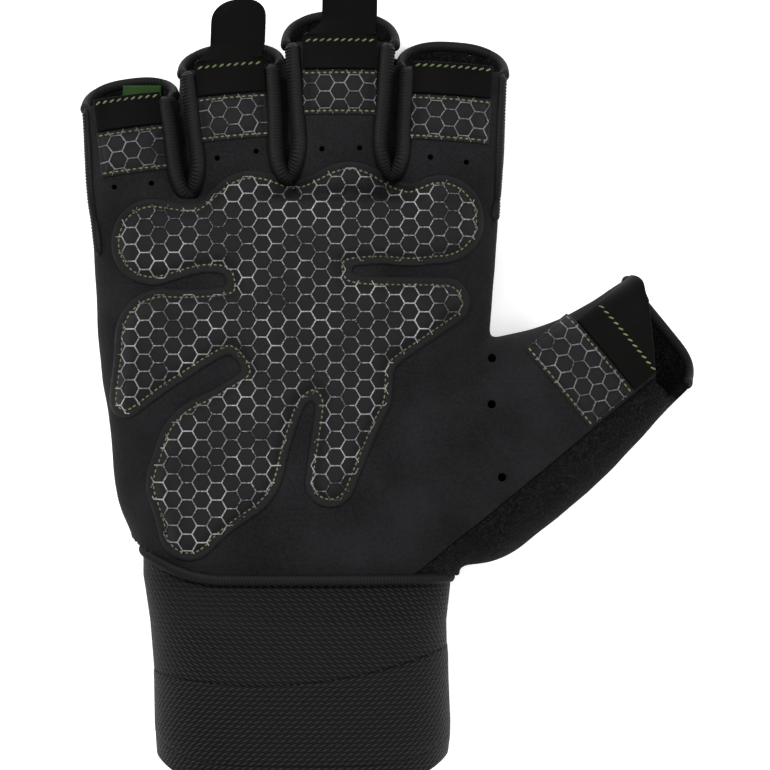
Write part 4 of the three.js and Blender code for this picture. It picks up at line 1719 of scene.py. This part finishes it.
    def roll_between(self, left: Stall, right: Stall) -> None:
        """Make the ribbed strip that lines the slot between two stalls.

        Args:
            left: The stall on the slot's left.
            right: The stall on its right.
        """
        reach = self.roll + GAP
        spread = self.roll_spread * self.roll + GAP
        tops = (left.frame.point(left.length - GAP, left.width / 2 - reach),
                right.frame.point(right.length - GAP, -right.width / 2 + reach))
        roots = (left.frame.point(self.root_share * left.length, left.root_width / 2 - spread),
                 right.frame.point(self.root_share * right.length, -right.root_width / 2 + spread))
        bottom = (roots[0] + roots[1]) / 2
        bottom[1] = min(roots[0][1], roots[1][1]) - 2 * self.roll
        plan = smooth_path([tops[0], (tops[0] + roots[0]) / 2, roots[0], bottom, roots[1],
                            (tops[1] + roots[1]) / 2, tops[1]], ROLL_POINTS)
        z = self.form.heights(plan)
        z = np.convolve(np.pad(z, ROLL_SPAN // 2, mode="edge"), np.ones(ROLL_SPAN) / ROLL_SPAN, mode="valid")
        tube = RibbedTube(f"slot_roll_{left.name}_{right.name}", np.column_stack([plan, z + 0.5 * self.roll]),
                          self.form.normals(plan), self.roll * self.roll_flatness, self.roll, rib_depth=0.2)
        tube.build(BINDING, Slot.ELASTIC, f"fourchette_{left.name}_{right.name}")

    def side_binding(self, stall: Stall, side: int) -> None:
        """Make the binding down the outer side of an outer stall.

        Args:
            stall: The stall.
            side: Which side: -1 for its left and 1 for its right.
        """
        places = [(stall.length - GAP, stall.width),
                  (0.5 * stall.length, (stall.width + stall.root_width) / 2),
                  (0, stall.root_width),
                  (stall.length - self.side_length, stall.root_width)]
        inset = self.side_inset * self.side
        plan = smooth_path([stall.frame.point(a, side * (w / 2 - inset)) for a, w in places], SIDE_POINTS)
        path = np.column_stack([plan, self.form.heights(plan) + self.side_lift * self.side])
        tube = RibbedTube(f"side_binding_{stall.name}", path, self.form.normals(plan), self.side,
                          self.side * self.side_flatness)
        tube.build(BINDING, Slot.ELASTIC, f"side_strip_{stall.name}")

    def mouth_ring(self, name: str, frame: Frame2, length: float, left: float, right: float,
                   height: float, warp: Plan) -> None:
        """Make the binding round the back of a mouth.

        Args:
            name: The stall's name.
            frame: The stall's plan frame.
            length: The mouth's place along it.
            left: Its left edge across the frame.
            right: Its right edge across the frame.
            height: The stall's height.
            warp: Moves the mouth along the frame, from the unit places across and up.
        """
        form = self.form
        inset = self.piping_inset
        ring = form.ring(frame, length, left + inset, right - inset, height - inset, warp)
        ring[:, 2] = np.maximum(ring[:, 2], self.piping[1])
        ups = unit(ring - ring.mean(axis=0))
        back = (form.section()[1] < (0.0 if name == "thumb" else self.piping_top)).nonzero()[0]
        breaks = np.diff(back) > 1
        order = np.roll(back, -(int(np.argmax(breaks)) + 1) if breaks.any() else 0)
        tube = RibbedTube("mouth_piping_" + name, ring[order], ups[order], *self.piping)
        tube.build(BINDING, Slot.ELASTIC, "mouth_binding_" + name)

    def build(self) -> None:
        """Make and dress all that is sewn to the stalls."""
        form = self.form
        for stall in form.stalls.values():
            top = stall.length - self.hem_length
            self.facing(stall.name, stall.frame, top, lambda _, s=stall: s.length + self.turn_over,
                        -stall.half, stall.half, stall.tab)
            self.grip(stall.name, stall.frame, top - GAP, -stall.half, stall.half)
            self.mouth_ring(stall.name, stall.frame, stall.length, -stall.width / 2, stall.width / 2,
                            form.stall_height, lambda u, w, s=stall: s.lip * np.maximum(0, -w))
        names = list(form.stalls)
        for first, second in zip(names, names[1:]):
            self.roll_between(form.stalls[first], form.stalls[second])
        self.side_binding(form.stalls[names[0]], -1)
        self.side_binding(form.stalls[names[-1]], 1)
        width = form.thumb_width
        low = self.thumb_hem * form.thumb_length

        def edge(across: float) -> float:
            """Give the palm edge of the thumb's mouth.

            Args:
                across: The place across the thumb.

            Returns:
                The edge's place along the thumb.
            """
            u = (across + width / 2) / (width / 2)
            cut = float(form.thumb_warp(np.array([u]), np.array([1.0]))[0])
            off = (across + width - self.corner_inset) / self.corner_width
            return form.thumb_length + cut + self.corner * math.exp(-(off**2))

        self.facing("thumb", form.thumb, low, edge, -width - self.thumb_wrap, -self.thumb_seam, False)
        self.grip("thumb", form.thumb, low - GAP, -self.thumb_grip_share * width, -self.thumb_seam)
        self.mouth_ring("thumb", form.thumb, form.thumb_length, -width, 0, form.thumb_height, form.thumb_warp)


@dataclass
class WristWrap:
    """The woven elastic wrap round the wrist: two turns, a hem, a bound seam and its fastening."""

    form: HandForm
    length: float = 51.5
    width: float = 76.0
    height: float = 47.0
    hem: float = 5.6
    rise: float = 7.0
    wall: float = 2.2
    floor: float = 1.8
    sides: int = 220
    # The seam's reach across, the turn line's level, slope and bow, and how sharply the bottom rises.
    seam_reach: float = 0.495
    turn_line: tuple[float, float, float] = (0.495, 0.06, 0.098)
    rise_power: int = 5
    # How a proud band fills out from its edges.
    edge_run: float = 5.0
    edge_start: float = 0.3
    seam_floor: float = 1.0
    piping: tuple[float, float] = (1.4, 0.95)
    # Shares of the wrap's length, width, width and height, down from the wrist seam.
    rows: tuple[tuple[float, float, float, float], ...] = (
        (0.0, -0.503, 0.53, 0.8), (0.06, -0.495, 0.527, 0.84), (0.22, -0.476, 0.514, 0.95),
        (0.5, -0.459, 0.518, 1.0), (0.78, -0.456, 0.526, 1.0), (1.0, -0.446, 0.508, 0.98),
    )

    def edge(self, name: str, u: np.ndarray) -> np.ndarray:
        """Give a plan edge of the wrap at the places u across it.

        Args:
            name: Which edge: wrist, turn, hem or bottom.
            u: The places, from -1 to 1.

        Returns:
            The edge's y in millimetres.
        """
        top = self.form.wrist_y
        if name == "wrist":
            return top + self.form.rise_at(u * self.seam_reach * self.width) - GAP
        if name == "turn":
            level, slope, bow = self.turn_line
            return top - self.length * (level - slope * u - bow * u * u)
        bottom = top - self.length + self.rise * np.abs(u) ** self.rise_power
        return bottom + (self.hem if name == "hem" else 0)

    def flat_size(self, upper: str, lower: str) -> tuple[float, float]:
        """Give a band's flat size: the way round the wrap, and the mean way between two edges.

        Args:
            upper: The band's upper edge.
            lower: Its lower edge.

        Returns:
            The width and length in metres.
        """
        u, w = self.form.section()
        ring = np.stack([u * self.width / 2, w * self.height / 2], axis=1)
        around = np.linalg.norm(np.roll(ring, -1, axis=0) - ring, axis=1).sum()
        depth = float(np.mean(self.edge(upper, u) - self.edge(lower, u)))
        return around * MM, depth * MM

    def rings(self, upper: str, lower: str, proud: float, count: int) -> list[np.ndarray]:
        """Give the rings of one band of the wrap, from its upper edge down.

        Args:
            upper: The band's upper edge.
            lower: Its lower edge.
            proud: How far it stands out of the wrap's form.
            count: How many rows of faces it has.

        Returns:
            The rings' points.
        """
        u, w = superellipse(self.sides, self.form.roundness)
        table = np.array(self.rows)
        top, bottom = self.edge(upper, u), self.edge(lower, u)
        sink = self.form.flat_sink
        made = []
        for t in np.linspace(0, 1, count + 1):
            y = top + (bottom - top) * t
            share = (self.form.wrist_y - y) / self.length
            left, right = (np.interp(share, table[:, 0], table[:, i]) * self.width for i in (1, 2))
            height = np.interp(share, table[:, 0], table[:, 3]) * self.height
            edge_share = min(1, self.edge_run * min(t, 1 - t) + self.edge_start)
            swell = proud * math.sin(edge_share * math.pi / 2)
            x = (left + right) / 2 + ((right - left) / 2 + swell) * u
            z = (height - sink) / 2 + ((height + sink) / 2 + swell) * w
            made.append(np.stack([x, y, np.maximum(z, self.floor)], axis=1))
        return made

    def band(self, name: str, upper: str, lower: str, proud: float, count: int) -> bpy.types.Object:
        """Make one band of the wrap with its map in millimetres.

        Args:
            name: The band's name.
            upper: Its upper edge.
            lower: Its lower edge.
            proud: How far it stands out of the wrap's form.
            count: How many rows of faces it has.

        Returns:
            The closed band.
        """
        rings = self.rings(upper, lower, proud, count)
        n = self.sides
        made = mesh_object(name, np.concatenate(rings), ring_faces(len(rings), n))
        middle = rings[len(rings) // 2]
        steps = np.linalg.norm(np.roll(middle, -1, axis=0) - middle, axis=1)
        around = np.concatenate([[0], np.cumsum(steps)])
        layer = made.data.uv_layers.new(name="cloth")
        for face in made.data.polygons:
            for loop, vertex in zip(face.loop_indices, face.vertices):
                column = vertex % n
                turn = n if face.index % n == n - 1 and column == 0 else column
                layer.data[loop].uv = (around[turn], -made.data.vertices[vertex].co.y / MM)
        with editing(made) as shape:
            bmesh.ops.recalc_face_normals(shape, faces=shape.faces[:])
            shape.faces.ensure_lookup_table()
            first = shape.faces[0]
            centre = Vector((0, first.verts[0].co.y, self.height / 2 * MM))
            if (first.calc_center_median() - centre).dot(first.normal) < 0:
                bmesh.ops.reverse_faces(shape, faces=shape.faces[:])
        add_wall(made, self.wall)
        apply_modifiers(made)
        return made

    def seam(self) -> None:
        """Make the ribbed binding that covers the wrist seam."""
        u, w = superellipse(SEAM_POINTS, self.form.roundness)
        left, right = self.rows[0][1] * self.width, self.rows[0][2] * self.width
        height = self.rows[1][3] * self.height
        sink = self.form.flat_sink
        x = (left + right) / 2 + (right - left) / 2 * u
        z = (height - sink) / 2 + (height + sink) / 2 * w
        ring = np.stack([x, self.edge("wrist", u), np.maximum(z, self.seam_floor)], axis=1)
        ups = unit(np.stack([(right - left) / 2 * u, np.zeros_like(u), height / 2 * w], axis=1))
        tube = RibbedTube("wrist_seam_piping", np.vstack([ring, ring[:1]]), np.vstack([ups, ups[:1]]),
                          *self.piping, closed=True)
        tube.build(BINDING, Slot.ELASTIC, "wrap_seam_binding")

    def fastening(self) -> None:
        """Make the hook tape patch on the back of the wrap."""
        low, high = (Vector(p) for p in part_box("wrap_closure"))
        bpy.ops.object.select_all(action="DESELECT")
        bpy.ops.mesh.primitive_cube_add(size=1, location=(low + high) / 2)
        patch = bpy.context.active_object
        patch.name = "hook_tape_patch"
        patch.scale = high - low
        bpy.ops.object.transform_apply(location=True, rotation=True, scale=True)
        add_bevel(patch, 0.6, 3)
        apply_modifiers(patch)
        finish_piece(patch, TERRY, Slot.ELASTIC, "wrap_closure")

    def build(self) -> None:
        """Make and dress the wrap."""
        upper = self.band("wrap_inner_turn", "wrist", "turn", 0.0, 34)
        finish_piece(upper, UPPER_WEAVE, Slot.ELASTIC, "wrap_upper_turn")
        self.flat_size("wrist", "turn")
        lower = self.band("wrap_outer_turn", "turn", "hem", 0.25, 30)
        finish_piece(lower, LOWER_WEAVE, Slot.ELASTIC, "wrap_lower_turn")
        self.flat_size("turn", "hem")
        hem = self.band("wrap_bottom_hem", "hem", "bottom", 0.05, 10)
        finish_piece(hem, LOWER_WEAVE, Slot.ELASTIC, "wrap_hem")
        self.seam()
        self.fastening()


def lining_label() -> None:
    """Make the small olive patch in the little finger's mouth, a softened cloth tab."""
    low, high = (Vector(p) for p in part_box("inner_label"))
    bpy.ops.object.select_all(action="DESELECT")
    bpy.ops.mesh.primitive_grid_add(x_subdivisions=14, y_subdivisions=14, size=1,
                                    location=(low + high) / 2)
    patch = bpy.context.active_object
    patch.name = "olive_patch"
    patch.scale = (high.x - low.x, high.y - low.y, 1)
    bpy.ops.object.transform_apply(location=True, rotation=True, scale=True)
    for vertex in patch.data.vertices:
        vertex.co.z += (LABEL_LIFT + noise.noise(vertex.co * LABEL_WAVES) * LABEL_DEPTH) * MM
    add_wall(patch, LABEL_WALL)
    apply_modifiers(patch)
    finish_piece(patch, LABEL, Slot.OLIVE, "inner_label")


@dataclass
class Studio:
    """The plain pale floor, the soft lights and the camera straight over the palm."""

    frame_mm: float = 196.35
    distance: float = 0.85
    centre: tuple[float, float] = (23.46, -1.275)
    palm_lift: float = 0.02
    sky: float = 0.3
    # Name, place and size in metres, and power in watts.
    lights: tuple[tuple[str, tuple[float, float, float], float, float], ...] = (
        ("key_light", (-0.55, 0.75, 0.9), 0.4, 11.0), ("fill_light", (0.8, 0.2, 0.8), 0.5, 4.5),
        ("low_light", (0.1, -0.9, 0.7), 0.5, 3.5), ("top_light", (0.0, 0.1, 1.5), 1.2, 7.0),
    )

    def build(self) -> None:
        """Set the stage."""
        bpy.ops.object.select_all(action="DESELECT")
        bpy.ops.mesh.primitive_plane_add(size=6, location=(0, 0, -0.0002))
        floor = bpy.context.active_object
        floor.name = "studio_floor"
        floor.data.materials.append(material_of(FLOOR))
        for name, place, size, power in self.lights:
            light = bpy.data.lights.new(name, "AREA")
            light.size = size
            light.energy = power
            lamp = bpy.data.objects.new(name, light)
            lamp.location = place
            lamp.rotation_euler = (-Vector(place)).to_track_quat("-Z", "Y").to_euler()
            bpy.context.collection.objects.link(lamp)
        scene = bpy.context.scene
        scene.world = bpy.data.worlds.new("pale_room")
        scene.world.use_nodes = True
        sky = scene.world.node_tree.nodes["Background"]
        sky.inputs["Color"].default_value = (1, 1, 1, 1)
        sky.inputs["Strength"].default_value = self.sky
        scene.view_settings.view_transform = "Standard"
        camera = bpy.data.cameras.new("camera")
        camera.sensor_width = SENSOR_MM
        camera.lens = SENSOR_MM * (self.distance - self.palm_lift) / (self.frame_mm * MM)
        holder = bpy.data.objects.new("camera", camera)
        holder.location = (self.centre[0] * MM, self.centre[1] * MM, self.distance)
        bpy.context.collection.objects.link(holder)
        scene.camera = holder


def main() -> None:
    """Build the glove and its stage."""
    logging.basicConfig(level=logging.INFO, format="%(message)s")
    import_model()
    form = HandForm()
    form.build()
    Shell(form).build()
    thread = Needlework(form)
    lobes = Lobes(form)
    GripPad(form, thread, "palm_grip_pad", ("palm_pad",), lobes.field, lobes.box).build()
    StallTrim(form, thread).build()
    WristWrap(form).build()
    lining_label()
    thread.build("olive_stitches")
    bpy.data.objects.remove(form.body)
    Studio().build()


if __name__ == "__main__":
    main()
